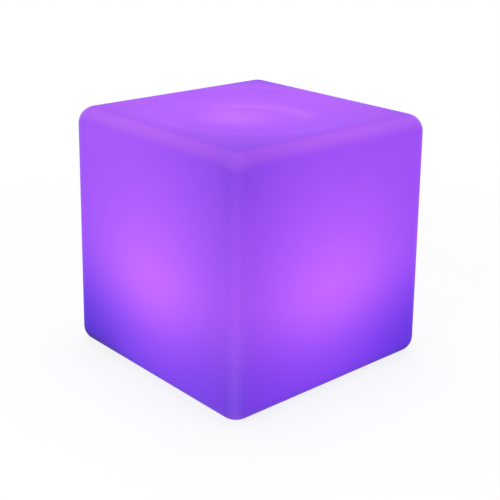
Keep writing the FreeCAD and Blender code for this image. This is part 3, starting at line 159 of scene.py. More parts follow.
# %% A finish that makes nodes
class Finish:
    """The nodes of one material, or of the world, and short ways to add to them."""

    def __init__(self, owner):
        self.owner = owner
        owner.use_nodes = True
        self.tree = owner.node_tree
        self.tree.nodes.clear()

    def node(self, kind, settings=None, inputs=None, output=0):
        """Makes a node, sets it up, fills or links its inputs, and gives back one of its outputs."""
        made = self.tree.nodes.new(kind)
        for name, value in (settings or {}).items():
            setattr(made, name, value)
        for name, value in (inputs or {}).items():
            value = socket_or_number(value)
            if isinstance(value, bpy.types.NodeSocket):
                self.tree.links.new(value, made.inputs[name])
            else:
                made.inputs[name].default_value = value
        return Amount(self, made.outputs[output]) if made.outputs else None

    def maths(self, operation, *values):
        return self.node("ShaderNodeMath", {"operation": operation}, dict(enumerate(values)))

    def larger(self, one, other):
        return self.maths("MAXIMUM", one, other)

    def smaller(self, one, other):
        return self.maths("MINIMUM", one, other)

    def place(self):
        """The point on the piece, in metres."""
        return self.node("ShaderNodeTexCoord", output="Object")

    def facing(self):
        """The direction that the surface faces."""
        return self.node("ShaderNodeTexCoord", output="Normal")

    def axes(self, vector):
        """The three parts of a vector."""
        parts = self.node("ShaderNodeSeparateXYZ", inputs={0: vector}).socket.node
        return [Amount(self, part) for part in parts.outputs]

    def noise(self, vector, scale, detail=2.0, rough=0.5):
        inputs = {"Vector": vector, "Scale": scale, "Detail": detail, "Roughness": rough}
        return self.node("ShaderNodeTexNoise", inputs=inputs)

    def between(self, value, low, high, to_low=0.0, to_high=1.0):
        """The value's place between two limits, as a soft step."""
        inputs = {"Value": value, "From Min": low, "From Max": high, "To Min": to_low, "To Max": to_high}
        return self.node("ShaderNodeMapRange", {"interpolation_type": "SMOOTHSTEP"}, inputs)

    def fading(self, value, low, high):
        """One below the lower limit, and nought above the higher one."""
        return self.between(value, low, high, 1, 0)

    def blend(self, share, one, other):
        """Two colours mixed. A Mix node's sockets go by number: 0 is the share, 6 and 7 are the colours."""
        colours = {0: share, 6: rgba(one), 7: rgba(other)}
        return self.node("ShaderNodeMix", {"data_type": "RGBA"}, colours, output=2)

    def bump(self, height, strength, distance):
        inputs = {"Height": height, "Strength": strength, "Distance": distance}
        return self.node("ShaderNodeBump", inputs=inputs)

    def surface(self, **sockets):
        """Ends the net in one shader, with its sockets named in words: base_color for Base Color."""
        inputs = {}
        for words, value in sockets.items():
            inputs[words.replace("_", " ").title().replace("Ior", "IOR")] = rgba(value)
        shader = self.node("ShaderNodeBsdfPrincipled", inputs=inputs)
        self.node("ShaderNodeOutputMaterial", inputs={"Surface": shader})
        return self.owner


def new_finish(name):
    """A finish for a new material."""
    return Finish(bpy.data.materials.new(name))


def dress(piece, material):
    """Gives a piece one finish all over."""
    piece.data.materials.clear()
    piece.data.materials.append(material)
    return piece


print("a finish can make:", [name for name in vars(Finish) if not name.startswith("_")])

# %% [markdown]
# ## The cube
#
# The real cube is moulded in one piece: plastic powder melts onto the inside of a hot, slowly turning
# mould, and sets as an even skin. Every edge is round, the sides lean in a little so that it leaves the
# mould, and the top has a shallow round dish. A subdivided box would be quick, but its roundings would have
# no true radius, so a cube that is bevelled twice gives the body. The dish and the hollow underneath are
# profiles spun round the upright axis, and flat faces with holes are filled in between.

# %% Sizes of the cube, in metres
base_width = 0.400  # from plane to plane at the bottom, since the edges are round
top_width = 0.389
cube_bottom = 0.002  # the feet hold the skin off the floor
cube_top = 0.394
wall = 0.004
upright_round = 0.030
rim_round = 0.026
cad_width = cad_box[1][0] - cad_box[0][0]
print("sides", base_width, "to", top_width, "m apart, and", round(cad_width, 4), "m across the round edges")

# %% [markdown]
# Three helpers do the work of a lathe and a patching knife. One spins a profile and hands back the circle
# at which it starts, one finds a circle's edges, and one fills a flat outline round its holes.

# %% Helpers for skins
turn_steps = 144  # steps of a full turn on the large circles
small_turn_steps = 40
weld = 1e-6  # points closer than this are one point
on_circle = 1e-5  # how far a point may lie from the circle that it belongs to


def circle_edges(bm, radius, level, x=0.0, y=0.0):
    """The edges of a level circle."""
    middle = Vector((x, y, level))
    ring = set()
    for vert in bm.verts:
        if abs(vert.co.z - level) < weld and abs((vert.co - middle).length - radius) < on_circle:
            ring.add(vert)
    return [edge for edge in bm.edges if ring.issuperset(edge.verts)]


def turned(bm, profile, x=0.0, y=0.0, steps=small_turn_steps):
    """Spins a profile of (radius, height) points round an upright axis. Returns its first point's circle."""
    points = [bm.verts.new((x + radius, y, height)) for radius, height in profile]
    lines = [bm.edges.new(pair) for pair in zip(points, points[1:])]
    turn = {"cent": (x, y, 0), "axis": (0, 0, 1), "angle": 2 * math.pi, "steps": steps}
    bmesh.ops.spin(bm, geom=points + lines, use_merge=True, **turn)
    on_axis = [vert for vert in bm.verts if (vert.co.xy - Vector((x, y))).length < weld]
    bmesh.ops.remove_doubles(bm, verts=on_axis, dist=weld)
    radius, level = profile[0]
    return circle_edges(bm, radius, level, x, y)


def fill_flat(bm, edges, way):
    """Fills a flat outline with holes in it, facing up for 1 and down for -1."""
    bmesh.ops.triangle_fill(bm, edges=edges, normal=(0, 0, way), use_beauty=True, use_dissolve=False)


print("steps on the recess and the dish turn by", 360 / turn_steps, "degrees each")

# %% [markdown]
# The body starts as a plain cube, narrowed towards its top. Its upright edges are bevelled first and then
# the two rims, so that each rim's rounding runs round the corners in one sweep. The largest level face of
# each end is taken away again, which leaves the outlines that the dish and the base are filled into. The
# same function makes the inside of the skin, when it is told how far in from the outside to stay.

# %% The rounded body
upright_segments = 20
rim_segments = 18


def round_off(bm, edges, radius, segments):
    how = {"offset_type": "OFFSET", "affect": "EDGES", "clamp_overlap": False}
    bmesh.ops.bevel(bm, geom=edges, offset=radius, segments=segments, profile=0.5, material=-1, **how)


def at_level(element, z):
    """Whether an edge or a face lies at one height all over."""
    return all(abs(vert.co.z - z) < weld for vert in element.verts)


def rounded_body(bm, inset):
    """A leaning cube with its edges rounded. Returns the open outlines of its top and of its bottom."""
    bottom, top = cube_bottom + inset, cube_top - inset
    bmesh.ops.create_cube(bm, size=1.0)
    for vert in bm.verts:
        width = (base_width if vert.co.z < 0 else top_width) - 2 * inset
        vert.co = Vector((vert.co.x * width, vert.co.y * width, bottom if vert.co.z < 0 else top))
    uprights = [edge for edge in bm.edges if not at_level(edge, top) and not at_level(edge, bottom)]
    round_off(bm, uprights, upright_round - inset, upright_segments)
    for level in (top, bottom):
        round_off(bm, [edge for edge in bm.edges if at_level(edge, level)], rim_round - inset, rim_segments)
    outlines = []
    for level in (top, bottom):
        flat = max((face for face in bm.faces if at_level(face, level)), key=lambda face: face.calc_area())
        outlines.append(list(flat.edges))
        bmesh.ops.delete(bm, geom=[flat], context="FACES_ONLY")
    return outlines


trial = bmesh.new()
rounded_body(trial, 0.0)
print("the rounded body alone has", len(trial.faces), "faces")
trial.free()

# %% [markdown]
# The dish can be read only from its faint shading: a soft slope near the rim, and a floor that sags a
# little. The slope is an S of two equal arcs, and the floor is one wide arc that the S runs into without a
# crease. The two radii follow from the dish's four sizes, so no point of the profile is placed by hand.

# %% The dish
rim_flat = 0.0005  # what is left flat between the rounded rim and the dish
dish_rim = top_width / 2 - rim_round - rim_flat
dish_slope = 0.040
dish_drop = 0.0035
dish_sag = 0.0025
slope_steps = 12
floor_steps = 24


def dish_profile(level):
    """Points from the rim to the middle, as (radius, height) pairs."""
    floor_r = dish_rim - dish_slope
    floor_arc = (floor_r**2 + dish_sag**2) / (2 * dish_sag)
    start = math.asin(floor_r / floor_arc)  # how steep the floor's arc is where the slope meets it
    # The slope's arcs share one radius. Its width is that radius times 2 sin(steep) - sin(start), and its
    # drop is the radius times 1 + cos(start) - 2 cos(steep). One divided by the other leaves only steep.
    side = 2 * math.hypot(dish_drop, dish_slope)
    known = dish_slope * (1 + math.cos(start)) + dish_drop * math.sin(start)
    steep = math.atan2(dish_drop, dish_slope) + math.acos(known / side)
    slope_arc = dish_slope / (2 * math.sin(steep) - math.sin(start))
    slope_foot, middle = level - dish_drop, level - dish_drop - dish_sag
    points = []
    for i in range(slope_steps + 1):
        a = steep * i / slope_steps
        points.append((dish_rim - slope_arc * math.sin(a), level - slope_arc * (1 - math.cos(a))))
    for i in range(1, slope_steps + 1):
        a = steep + (start - steep) * i / slope_steps
        r = floor_r + slope_arc * (math.sin(a) - math.sin(start))
        points.append((r, slope_foot + slope_arc * (math.cos(start) - math.cos(a))))
    for i in range(1, floor_steps + 1):
        a = start * (1 - i / floor_steps)
        points.append((floor_arc * math.sin(a), middle + floor_arc * (1 - math.cos(a))))
    return points


rim_point, *_, middle_point = dish_profile(cube_top)
dish_width, dish_depth = 2 * rim_point[0], rim_point[1] - middle_point[1]
print("the dish is", round(dish_width, 3), "m across and", round(dish_depth, 4), "m deep")

# %% [markdown]
# Underneath, the outside has a round recess for the lamp module, with a soft lip, and four pockets for the
# feet. The inside follows it a wall's thickness away, and has a boss over each foot and six round the
# opening, where the brass nuts are moulded in. Both skins end at the edge of the opening, where they meet.

# %% Outside and inside of the skin
recess_radius = 0.084
recess_depth = 0.012
recess_lip = 0.003
lip_steps = 6
opening_radius = 0.062
foot_radius = 0.01415
foot_pocket = 0.0015
foot_inset = 0.050  # a foot's middle, in from the side of the cube
foot_boss_radius, foot_boss_height = 0.008, 0.010
nut_count = 6
nut_ring = 0.072
nut_boss_radius, nut_boss_top = 0.006, 0.027

foot_at = base_width / 2 - foot_inset
foot_places = [(x, y) for x in (-foot_at, foot_at) for y in (-foot_at, foot_at)]
nut_angles = [math.tau * i / nut_count for i in range(nut_count)]
nut_places = [(nut_ring * math.cos(angle), nut_ring * math.sin(angle)) for angle in nut_angles]


def recess_lip_points():
    """A quarter round from the flat of the base into the recess."""
    centre_r, centre_z = recess_radius + recess_lip, cube_bottom + recess_lip
    quarter_turn = math.pi / 2
    angles = [quarter_turn * (3 - i / lip_steps) for i in range(lip_steps + 1)]
    return [(centre_r + recess_lip * math.cos(a), centre_z + recess_lip * math.sin(a)) for a in angles]


def pegs(bm, places, radius, start, end):
    """Round bosses or pockets. Returns the circles at which they start."""
    circles = []
    for x, y in places:
        circles += turned(bm, [(radius, start), (radius, end), (0, end)], x, y)
    return circles


def outer_skin(bm):
    top_outline, bottom_outline = rounded_body(bm, 0.0)
    fill_flat(bm, top_outline + turned(bm, dish_profile(cube_top), steps=turn_steps), 1)
    recess_top = cube_bottom + recess_depth
    recess = [*recess_lip_points(), (recess_radius, recess_top), (opening_radius, recess_top)]
    holes = turned(bm, recess, steps=turn_steps)
    holes += pegs(bm, foot_places, foot_radius, cube_bottom, cube_bottom + foot_pocket)
    fill_flat(bm, bottom_outline + holes, -1)


def inner_skin(bm):
    top_outline, bottom_outline = rounded_body(bm, wall)
    fill_flat(bm, top_outline + turned(bm, dish_profile(cube_top - wall), steps=turn_steps), 1)
    floor, ledge = cube_bottom + wall, cube_bottom + recess_depth + wall
    holes = turned(bm, [(recess_radius + wall, floor), (recess_radius + wall, ledge)], steps=turn_steps)
    holes += pegs(bm, foot_places, foot_boss_radius, floor, floor + foot_boss_height)
    fill_flat(bm, bottom_outline + holes, -1)
    rings = circle_edges(bm, recess_radius + wall, ledge)
    rings += turned(bm, [(opening_radius, ledge), (opening_radius, ledge - wall)], steps=turn_steps)
    rings += pegs(bm, nut_places, nut_boss_radius, ledge, nut_boss_top)
    fill_flat(bm, rings, -1)


print("feet at", [(round(x, 3), round(y, 3)) for x, y in foot_places], "and", len(nut_places), "nuts")

# %% [markdown]
# The two skins are made apart, so that each one's faces can be turned outwards while it is simple. Then the
# inside is turned over and welded to the outside. A closed mesh with no open edge and a sensible volume
# shows that nothing was missed: four millimetres of plastic round a cube of this size, less the opening,
# come to about three and a half litres.

# %% The moulding
sharp_angle = math.radians(40)
flat_weight = 80  # how much large faces count, so that the flats shade flat beside their roundings


def closed_up(bm):
    """Welds the surfaces of a skin, and turns its faces outwards."""
    bmesh.ops.remove_doubles(bm, verts=bm.verts, dist=weld)
    bmesh.ops.recalc_face_normals(bm, faces=bm.faces)


def moulding(name):
    """The whole moulding as one closed mesh."""
    mesh = bpy.data.meshes.new(name)
    inside = bmesh.new()
    inner_skin(inside)
    closed_up(inside)
    bmesh.ops.reverse_faces(inside, faces=inside.faces)
    inside.to_mesh(mesh)
    inside.free()
    whole = bmesh.new()
    outer_skin(whole)
    closed_up(whole)
    whole.from_mesh(mesh)
    bmesh.ops.remove_doubles(whole, verts=whole.verts, dist=weld)
    for face in whole.faces:
        face.smooth = True
    open_edges = [edge for edge in whole.edges if not edge.is_manifold]
    litres = whole.calc_volume(signed=True) * 1000
    print(name, "has", len(whole.faces), "faces,", len(open_edges), "open edges,", round(litres, 3), "litres")
    whole.to_mesh(mesh)
    whole.free()
    mesh.set_sharp_from_angle(angle=sharp_angle)
    piece = bpy.data.objects.new(name, mesh)
    bpy.context.scene.collection.objects.link(piece)
    shading = piece.modifiers.new("even_shading", "WEIGHTED_NORMAL")
    shading.keep_sharp = True
    shading.weight = flat_weight
    return piece


glow_cube = moulding("glow_cube")

# %% [markdown]
# ## The glowing skin
#
# Real polyethylene scatters light so well that no lamp can be seen through it, only how much light reaches
# each spot of the wall. A renderer can trace that, slowly and with noise, or the amount can be worked out,
# as any lighting designer does: light falls off with the square of the distance, and with the slant at
# which it leaves the lamp and meets the wall. Light that bounces about inside adds an even level, and the
# flange shades the lowest part. The sum is one number for each spot, and the colour follows from it.

# %% How much light reaches the wall
lamp_x, lamp_y, lamp_height = -0.010, -0.009, 0.0915  # the brightest LED stands a little off the middle
sideways_share = 0.505  # how much the dome sends out sideways, against straight up
direct_gain = 0.657
even_level = 0.161
rise_with_height = 0.067
shaded_share = 0.329  # the light that the flange keeps from the lowest part
shaded_to, shaded_from = 0.054, 0.192

skin = new_finish("glow_skin")
place = skin.place()
x, y, z = skin.axes(place)
across_x, across_y, across_z = skin.axes(skin.facing())

from_x, from_y, from_z = x - lamp_x, y - lamp_y, z - lamp_height
distance_squared = from_x**2 + from_y**2 + from_z**2
distance = distance_squared**0.5
meeting = skin.larger((from_x * across_x + from_y * across_y + from_z * across_z) / distance, 0)
leaving = skin.larger(sideways_share + (1 - sideways_share) * from_z / distance, 0)
direct = meeting * leaving / distance_squared * (base_width / 2 - wall) ** 2
shading = skin.between(z, shaded_to, shaded_from, 1 - shaded_share, 1)
light = (even_level + rise_with_height * z + direct_gain * direct) * shading
print("the light on a bare wall takes", len(skin.tree.nodes), "nodes")

# %% [markdown]
# The rounded edges stand out a little: an upright edge is a paler core between two darker lines, and the rim
# of the top is bright all over, a painted highlight where the overhead lamps would be reflected. How far a
# spot is round a bend is read from the direction that it faces: the fourth powers of that direction's three
# parts add up to one on a flat wall and to a half in the middle of a bend.

# %% Bends
side_core_gain, side_loss = 0.418, 0.248
rim_highlight_gain, rim_highlight_core_loss = 0.334, 0.389

bend = 1 - (across_x**4 + across_y**4 + across_z**4)
upwards = skin.larger(across_z, 0)
under = skin.larger(-across_z, 0)
sideways = 1 - upwards
light = light + bend * sideways * (bend * side_core_gain - side_loss)
# The painted highlight along the rim of the top.
light = light + bend * upwards * (rim_highlight_gain - bend * rim_highlight_core_loss)
for share in (0.25, 0.5):
    print("bend", share, "adds", round(share * (share * side_core_gain - side_loss), 4), "on an upright edge")

# %% [markdown]
# The glow is never quite even. The walls grow brighter upwards, hardly at all by the near corner and most by
# the far one, and the top is a little brighter on its right. A plane's equation in X and Y gives each of
# these slow changes.

# %% The uneven glow
uneven_with_x, uneven_with_y, uneven_level = 0.876, 1.395, 0.455
most_uneven = 0.6
top_with_x, top_with_y, top_loss = 0.0675, 0.009, 0.064

uneven = skin.smaller(x * uneven_with_x + y * uneven_with_y + uneven_level, most_uneven)
light = light + uneven * (z - base_width / 2)
light = light + upwards * (x * top_with_x + y * top_with_y - top_loss)
print("the wall's unevenness is at most", round(most_uneven * base_width / 2, 3), "either way")

# %% [markdown]
# The dish shows soft painted highlights, where the room's lamps would be reflected in its slopes: a round
# spot over the lamp module, a crescent beside it, an arc along the slope on the left, and a bright run of the
# dish's edge on the right. They lie in the skin of the dish, so each is drawn in plan, as a distance from a
# point or from a circle, and faded in along X or Y. An image would do it too, but it would blur close up, and
# it would be one more file to carry.

# %% Painted highlights in the dish
dish_middle = (0, 0)
highlight_middle, highlight_core, highlight_reach = (-0.038, -0.007), 0.010, 0.076
crescent_from_x, crescent_from_y = (-0.048, 0.012), (-0.095, -0.065)
slope_until_x, slope_from_y = (-0.125, -0.090), (-0.030, 0.030)
edge_from_x = (0.100, 0.160)


def away_from(point):
    """How far a spot is from a point in plan."""
    return ((x - point[0]) ** 2 + (y - point[1]) ** 2) ** 0.5


def arc_mark(centre, radius, reach):
    """One along a circle's line, fading to nought on both sides."""
    return skin.fading(abs(away_from(centre) - radius), 0, reach)


# Painted highlights: a spot over the lamp module, a crescent, an arc on the left slope, a run on the right
# edge.
highlight_over_lamp = skin.fading(away_from(highlight_middle), highlight_core, highlight_reach)
crescent = arc_mark(centre=(-0.028, -0.0295), radius=0.092, reach=0.026)
crescent = crescent * skin.between(x, *crescent_from_x) * skin.between(y, *crescent_from_y)
left_slope = arc_mark(dish_middle, radius=0.145, reach=0.043)
left_slope = left_slope * skin.fading(x, *slope_until_x) * skin.between(y, *slope_from_y)
right_edge = arc_mark(dish_middle, radius=0.139, reach=0.026) * skin.between(x, *edge_from_x)
print("the marks bring it to", len(skin.tree.nodes), "nodes")

# %% [markdown]
# Each painted highlight then adds its own share of light, within the dish alone. The dish also darkens a
# little in its middle, and the far corner of the top stays dim. A short helper adds masks by their shares,
# which keeps each number beside the name of what it brightens.

# %% Light of the marks
top_from = (0.30, 0.35)
straight_up = 20  # so high a power leaves only the faces that look straight up
dish_fade = (dish_rim - 0.010, dish_rim + 0.015)
far_from = (0.22, 0.36)  # measured towards the far corner, along X and Y together
middle_loss = 0.049


def with_shares(amount, shares):
    """An amount with a share of each mask added to it."""
    for mask, share in shares:
        amount = amount + mask * share
    return amount


on_top = upwards**straight_up * skin.between(z, *top_from)
in_the_dish = on_top * skin.fading(away_from(dish_middle), *dish_fade)
far_corner = skin.between(x + y, *far_from)
marks = with_shares(
    -middle_loss,
    [
        (highlight_over_lamp, 0.065),
        (crescent, 0.052),
        (left_slope, 0.041),
        (x**2 + y**2, 1.38),
    ],
)
light = light + in_the_dish * marks
# The painted highlight along the dish's right edge, and the dim far corner of the top.
light = with_shares(light, [(on_top * right_edge, 0.052), (on_top * far_corner, -0.080)])
print("the dish and the top bring it to", len(skin.tree.nodes), "nodes")

# %% [markdown]
# A patch of painted shade lies low by one foot, where the cube meets the floor, and painted shade darkens the
# skin where it turns under the cube.
# The near upright edge is a little darker at its top and brighter at its foot. Powder never melts into a
# perfectly even wall either, so the whole glow is faintly cloudy.

# %% Painted shade by the foot and underneath, near edge and clouds
near_from = (0.267, 0.410)  # measured towards the near corner, along X and Y together
near_top_from, near_foot_until = (0.28, 0.37), (0.05, 0.20)
patch_middle, patch_reach = (-0.200, 0.127, -0.079), 0.140
patch_shade_loss = 1.1  # past one, since the middle of the patch lies below the cube
under_from, under_shade_loss = (0.1, 0.7), 0.141
coarse_cloud, fine_cloud = 24.0, 150.0
cloud_depth = 0.06
least_light = 0.02

near_upright = sideways * skin.between(-(x + y), *near_from)
near_top = near_upright * skin.between(z, *near_top_from)
near_foot = near_upright * bend * skin.fading(z, *near_foot_until)
light = with_shares(light, [(near_foot, 0.035), (near_top, -0.029)])
# The patch of painted shade by the foot: a soft ball round a point below the cube.
ends = {0: place, 1: patch_middle}
to_patch = skin.node("ShaderNodeVectorMath", {"operation": "DISTANCE"}, ends, output=1)
patch = skin.fading(to_patch, 0, patch_reach)
# Painted shade: the patch low by the foot, and the skin where it turns under.
light = light * (1 - patch * patch_shade_loss) * (1 - under_shade_loss * skin.between(under, *under_from))
cloudy = skin.noise(place, coarse_cloud, detail=3.0) * 0.5 + skin.noise(place, fine_cloud) * 0.5
light = skin.larger(light * (1 - cloud_depth / 2 + cloud_depth * cloudy), least_light)
print("the clouds change the light by", round(cloud_depth / 2 * 100), "in a hundred at most, either way")

# %% [markdown]
# Red follows the light. Blue reads as nearly full wherever some light comes through, except along the near
# upright edge, which is greyer. Green stays low, is a little higher on the left side, and rises in the top's
# bends with their painted reflection of the lamps. Green also carries the painted highlights in the dish, and
# green and blue drop in the painted shade underneath and on the dish's slope that turns from the near corner.

# %% Colour from light
slope_from = (dish_rim - 0.012, dish_rim)
near_bend_from = (0.10, 0.35)
blue_full, blue_half = 1.067, 0.093  # the most blue there is, and the light at which half of it shows
blue_at_base, blue_loss_with_height = 0.114, 0.139
patch_shade_blue_loss = 0.6
least_green, least_blue = 0.004, 0.05

dish_slope_only = on_top * skin.fading(away_from(dish_middle), *slope_from)
# Painted shade on the dish's slope where it turns from the near corner.
turned_away = dish_slope_only * (across_x + across_y)  # the slope where it turns from the near corner
near_bend = bend * upwards * skin.between(-(x + y), *near_bend_from)
green = with_shares(
    light * 0.228,
    [
        (across_y - across_x, 0.0035),
        # The painted reflection of the lamps in the top's bends.
        (bend * upwards, 0.075),
        (near_bend, -0.030),
        (upwards, -0.012),
        (under, -0.003),
        (near_foot, 0.038),
        (turned_away, -0.080),
        # The green of the painted highlights in the dish.
        (in_the_dish * crescent, 0.017),
        (in_the_dish * highlight_over_lamp, 0.013),
    ],
)
blue = light * blue_full / (light + blue_half) + sideways * (blue_at_base - z * blue_loss_with_height)
blue = with_shares(blue, [(near_upright, -0.075), (near_bend, -0.100), (turned_away, -0.090)])
# The painted shade by the foot and underneath takes blue away as well.
blue = with_shares(blue * (1 - patch * patch_shade_blue_loss), [(under, -0.171), (in_the_dish, 0.0425)])
parts = {0: light, 1: skin.larger(green, least_green), 2: skin.larger(blue, least_blue)}
glow_colour = skin.node("ShaderNodeCombineColor", inputs=parts)
print("the colour brings it to", len(skin.tree.nodes), "nodes")

# %% [markdown]
# The outside keeps a fine, waxy grain like orange peel. The plastic itself is nearly dark here. Its own
# colour is drowned by the glow, and a white skin under studio lamps would wash the violet out.

# %% The skin's surface
peel = skin.noise(place, scale=420.0, detail=3.0, rough=0.6)
skin.surface(
    base_color=skin.blend(cloudy, (0.015, 0.011, 0.022), (0.021, 0.015, 0.030)),
    roughness=0.38 + 0.12 * peel,
    specular_ior_level=0.02,
    emission_color=glow_colour,
    emission_strength=1.0,
    normal=skin.bump(peel, strength=0.10, distance=0.0004),
)
dress(glow_cube, skin.owner)
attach(glow_cube, "cube")
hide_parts("cube_shell")
print("the glowing skin uses", len(skin.tree.nodes), "nodes in all")

# %% [markdown]
# ## Finishes for the lamp module
#
# The rest is a small machine that a repairer would know: moulded plastic, rubber, plain and plated metal,
# circuit boards and wires. Its shapes are right as the CAD model gives them, so only finishes are needed.
# Each kind has one recipe, and each piece gets it in its own trade colour: white for what stands near the
# light, so that little of it is lost, and black or grey below. Everyday wear is kept light, since a sealed
# lamp module stays clean.
#
# Plastic that was pressed into a steel mould keeps the mould's fine grain and flows a little unevenly, so
# its colour is faintly cloudy and its gloss is rubbed smoother in places.

# %% Moulded plastic
def darker(colour, by):
    return tuple(part * (1 - by) for part in colour)


def moulded(name, colour, roughness=0.42, grain=900, depth=4e-5):
    plastic = new_finish(name)
    spot = plastic.place()
    cloud = plastic.noise(spot, scale=60.0, detail=3.0)
    grains = plastic.noise(spot, grain)
    rubbed = plastic.between(plastic.noise(spot, scale=25.0, detail=4.0), 0.5, 0.7)
    return plastic.surface(
        base_color=plastic.blend(plastic.between(cloud, 0.3, 0.7), darker(colour, 0.10), colour),
        roughness=roughness + 0.12 * grains - 0.08 * rubbed,
        normal=plastic.bump(grains, strength=0.5, distance=depth),
    )


finishes = {  # each under the name of its slot in the record
    "flange_plastic": moulded("flange_plastic", (0.72, 0.72, 0.74), roughness=0.5, grain=1400, depth=8e-5),
    "button_plastic": moulded("button_plastic", (0.028, 0.028, 0.034), roughness=0.22, grain=1600),
    "switch_black": moulded("switch_plastic", (0.025, 0.025, 0.028)),
    "plunger_plastic": moulded("plunger_plastic", (0.66, 0.05, 0.03), roughness=0.3),
    "socket_plastic": moulded("socket_nylon", (0.022, 0.022, 0.025), roughness=0.38),
    "chip_black": moulded("chip_epoxy", (0.022, 0.022, 0.024), roughness=0.5, grain=3000),
    "coil_ferrite": moulded("ferrite", (0.045, 0.045, 0.048), roughness=0.6, grain=3500),
    "connector_white": moulded("connector_nylon", (0.76, 0.74, 0.66), roughness=0.35),
    "cell_wrap": moulded("cell_wrap", (0.012, 0.12, 0.36), roughness=0.2, grain=500, depth=1e-4),
    "can_plastic": moulded("can_plastic", (0.80, 0.80, 0.80), roughness=0.45),
    "led_ceramic": moulded("led_housing", (0.84, 0.82, 0.76), roughness=0.4, grain=3000),
    "eye_plastic": moulded("infrared_window", (0.030, 0.010, 0.022), roughness=0.12, grain=800, depth=2e-5),
}
print("moulded finishes:", len(finishes))

# %% [markdown]
# Rubber and silicone shine softly, and pale dust settles in their pores. Insulation on wires is the same
# recipe with more gloss. A light pipe is clear acrylic: the shader's own transmission bends light through
# it, and a faint ripple keeps it from looking like a perfect rod of glass.

# %% Rubber, silicone and clear plastic
def rubbery(name, colour, roughness=0.68):
    rubber = new_finish(name)
    spot = rubber.place()
    pores = rubber.noise(spot, scale=1400.0, detail=3.0, rough=0.7)
    dust = rubber.between(rubber.noise(spot, scale=90.0, detail=5.0, rough=0.65), 0.55, 0.8) * 0.35
    dusty = tuple(0.75 * part + 0.12 for part in colour)
    return rubber.surface(
        base_color=rubber.blend(dust, colour, dusty),
        roughness=roughness + 0.15 * pores,
        specular_ior_level=0.3,
        normal=rubber.bump(pores, strength=0.35, distance=3e-5),
    )


def see_through(name, colour):
    clear_plastic = new_finish(name)
    ripple = clear_plastic.noise(clear_plastic.place(), scale=300.0)
    return clear_plastic.surface(
        base_color=clear_plastic.blend(ripple, darker(colour, 0.04), colour),
        roughness=0.04 + 0.08 * ripple,
        transmission_weight=0.9,
        ior=1.49,
    )


finishes |= {
    "rubber_black": rubbery("black_rubber", (0.030, 0.030, 0.033)),
    "gasket_silicone": rubbery("grey_silicone", (0.34, 0.34, 0.36)),
    "boot_silicone": rubbery("clear_silicone", (0.66, 0.66, 0.65), roughness=0.5),
    "wire_red": rubbery("red_wire", (0.50, 0.012, 0.010), roughness=0.45),
    "wire_black": rubbery("black_wire", (0.020, 0.020, 0.023), roughness=0.45),
    "clear_plastic": see_through("clear_acrylic", (0.90, 0.95, 0.93)),
}
print("with rubber and clear plastic:", len(finishes))

# %% [markdown]
# Rolled or drawn metal is scratched along one direction. Its lay stretches the noise: where one of its
# three numbers is small, the marks run along that axis. Turned and plated metal has marks of the same size
# all round. Tarnish is a larger, softer cloud that takes up to an eighth of the colour and some of the
# gloss.

# %% Metals
def metal(name, colour, roughness=0.3, lay=(1, 1, 1), scale=500.0):
    sheet_metal = new_finish(name)
    spot = sheet_metal.place()
    along = sheet_metal.node("ShaderNodeVectorMath", {"operation": "MULTIPLY"}, {0: spot, 1: lay})
    scratches = sheet_metal.noise(along, scale, detail=4.0, rough=0.65)
    tarnish = sheet_metal.between(sheet_metal.noise(spot, scale=70.0, detail=4.0), 0.45, 0.75)
    return sheet_metal.surface(
        base_color=sheet_metal.blend(tarnish * 0.5, colour, darker(colour, 0.25)),
        metallic=1.0,
        roughness=roughness + 0.18 * scratches + 0.10 * tarnish,
        normal=sheet_metal.bump(scratches, strength=0.25, distance=2e-5),
    )


finishes |= {
    "brass_inserts": metal("brass", (0.72, 0.50, 0.22), roughness=0.28, lay=(1, 1, 0.1)),
    "steel_screws": metal("stainless_steel", (0.62, 0.62, 0.64), roughness=0.25),
    "contact_metal": metal("tinned_brass", (0.66, 0.60, 0.46)),
    "nut_nickel": metal("nickel_plate", (0.66, 0.65, 0.62), roughness=0.16),
    "capacitor_sleeve": metal("capacitor_can", (0.66, 0.67, 0.69), roughness=0.22, lay=(1, 1, 0.05)),
    "cell_steel": metal("cell_can", (0.66, 0.66, 0.67), roughness=0.2, lay=(1, 0.05, 1)),
    "nickel_strip": metal("nickel_strip", (0.68, 0.66, 0.62), roughness=0.24, lay=(0.05, 1, 1)),
    "strap_steel": metal("zinc_strap", (0.58, 0.60, 0.62), roughness=0.3, lay=(0.08, 1, 1)),
    "spreader_aluminium": metal(
        "aluminium_sheet", (0.74, 0.75, 0.77), roughness=0.26, lay=(0.03, 1, 1), scale=800.0
    ),
}
print("with the metals:", len(finishes))

# %% [markdown]
# Under a circuit board's solder mask, the copper tracks show as slightly lighter raised lines. The mortar
# between the bricks of a Brick Texture makes a believable net of tracks, and a cloud with a hard edge makes
# the broad areas that are poured full of copper.

# %% Circuit boards
def circuit_board(name, mask, track, pitch=90.0):
    board = new_finish(name)
    spot = board.place()
    net = {"Vector": spot, "Scale": pitch, "Mortar Size": 0.06, "Mortar Smooth": 0.3, "Brick Width": 1.7}
    tracks = board.node("ShaderNodeTexBrick", inputs=net, output=1)
    poured = board.between(board.noise(spot, scale=45.0, detail=0.0), 0.5, 0.52)
    copper = board.larger(tracks, poured * 0.6)
    speckle = board.noise(spot, scale=1200.0)
    return board.surface(
        base_color=board.blend(copper * 0.7 + speckle * 0.1, mask, track),
        roughness=0.22 + 0.16 * speckle,
        coat_weight=0.3,
        normal=board.bump(copper, strength=0.4, distance=4e-5),
    )


finishes |= {
    "board_green": circuit_board("green_board", (0.010, 0.075, 0.028), (0.030, 0.16, 0.060)),
    "board_white": circuit_board("white_board", (0.82, 0.82, 0.79), (0.88, 0.87, 0.82), pitch=60.0),
}
print("with the boards:", len(finishes))

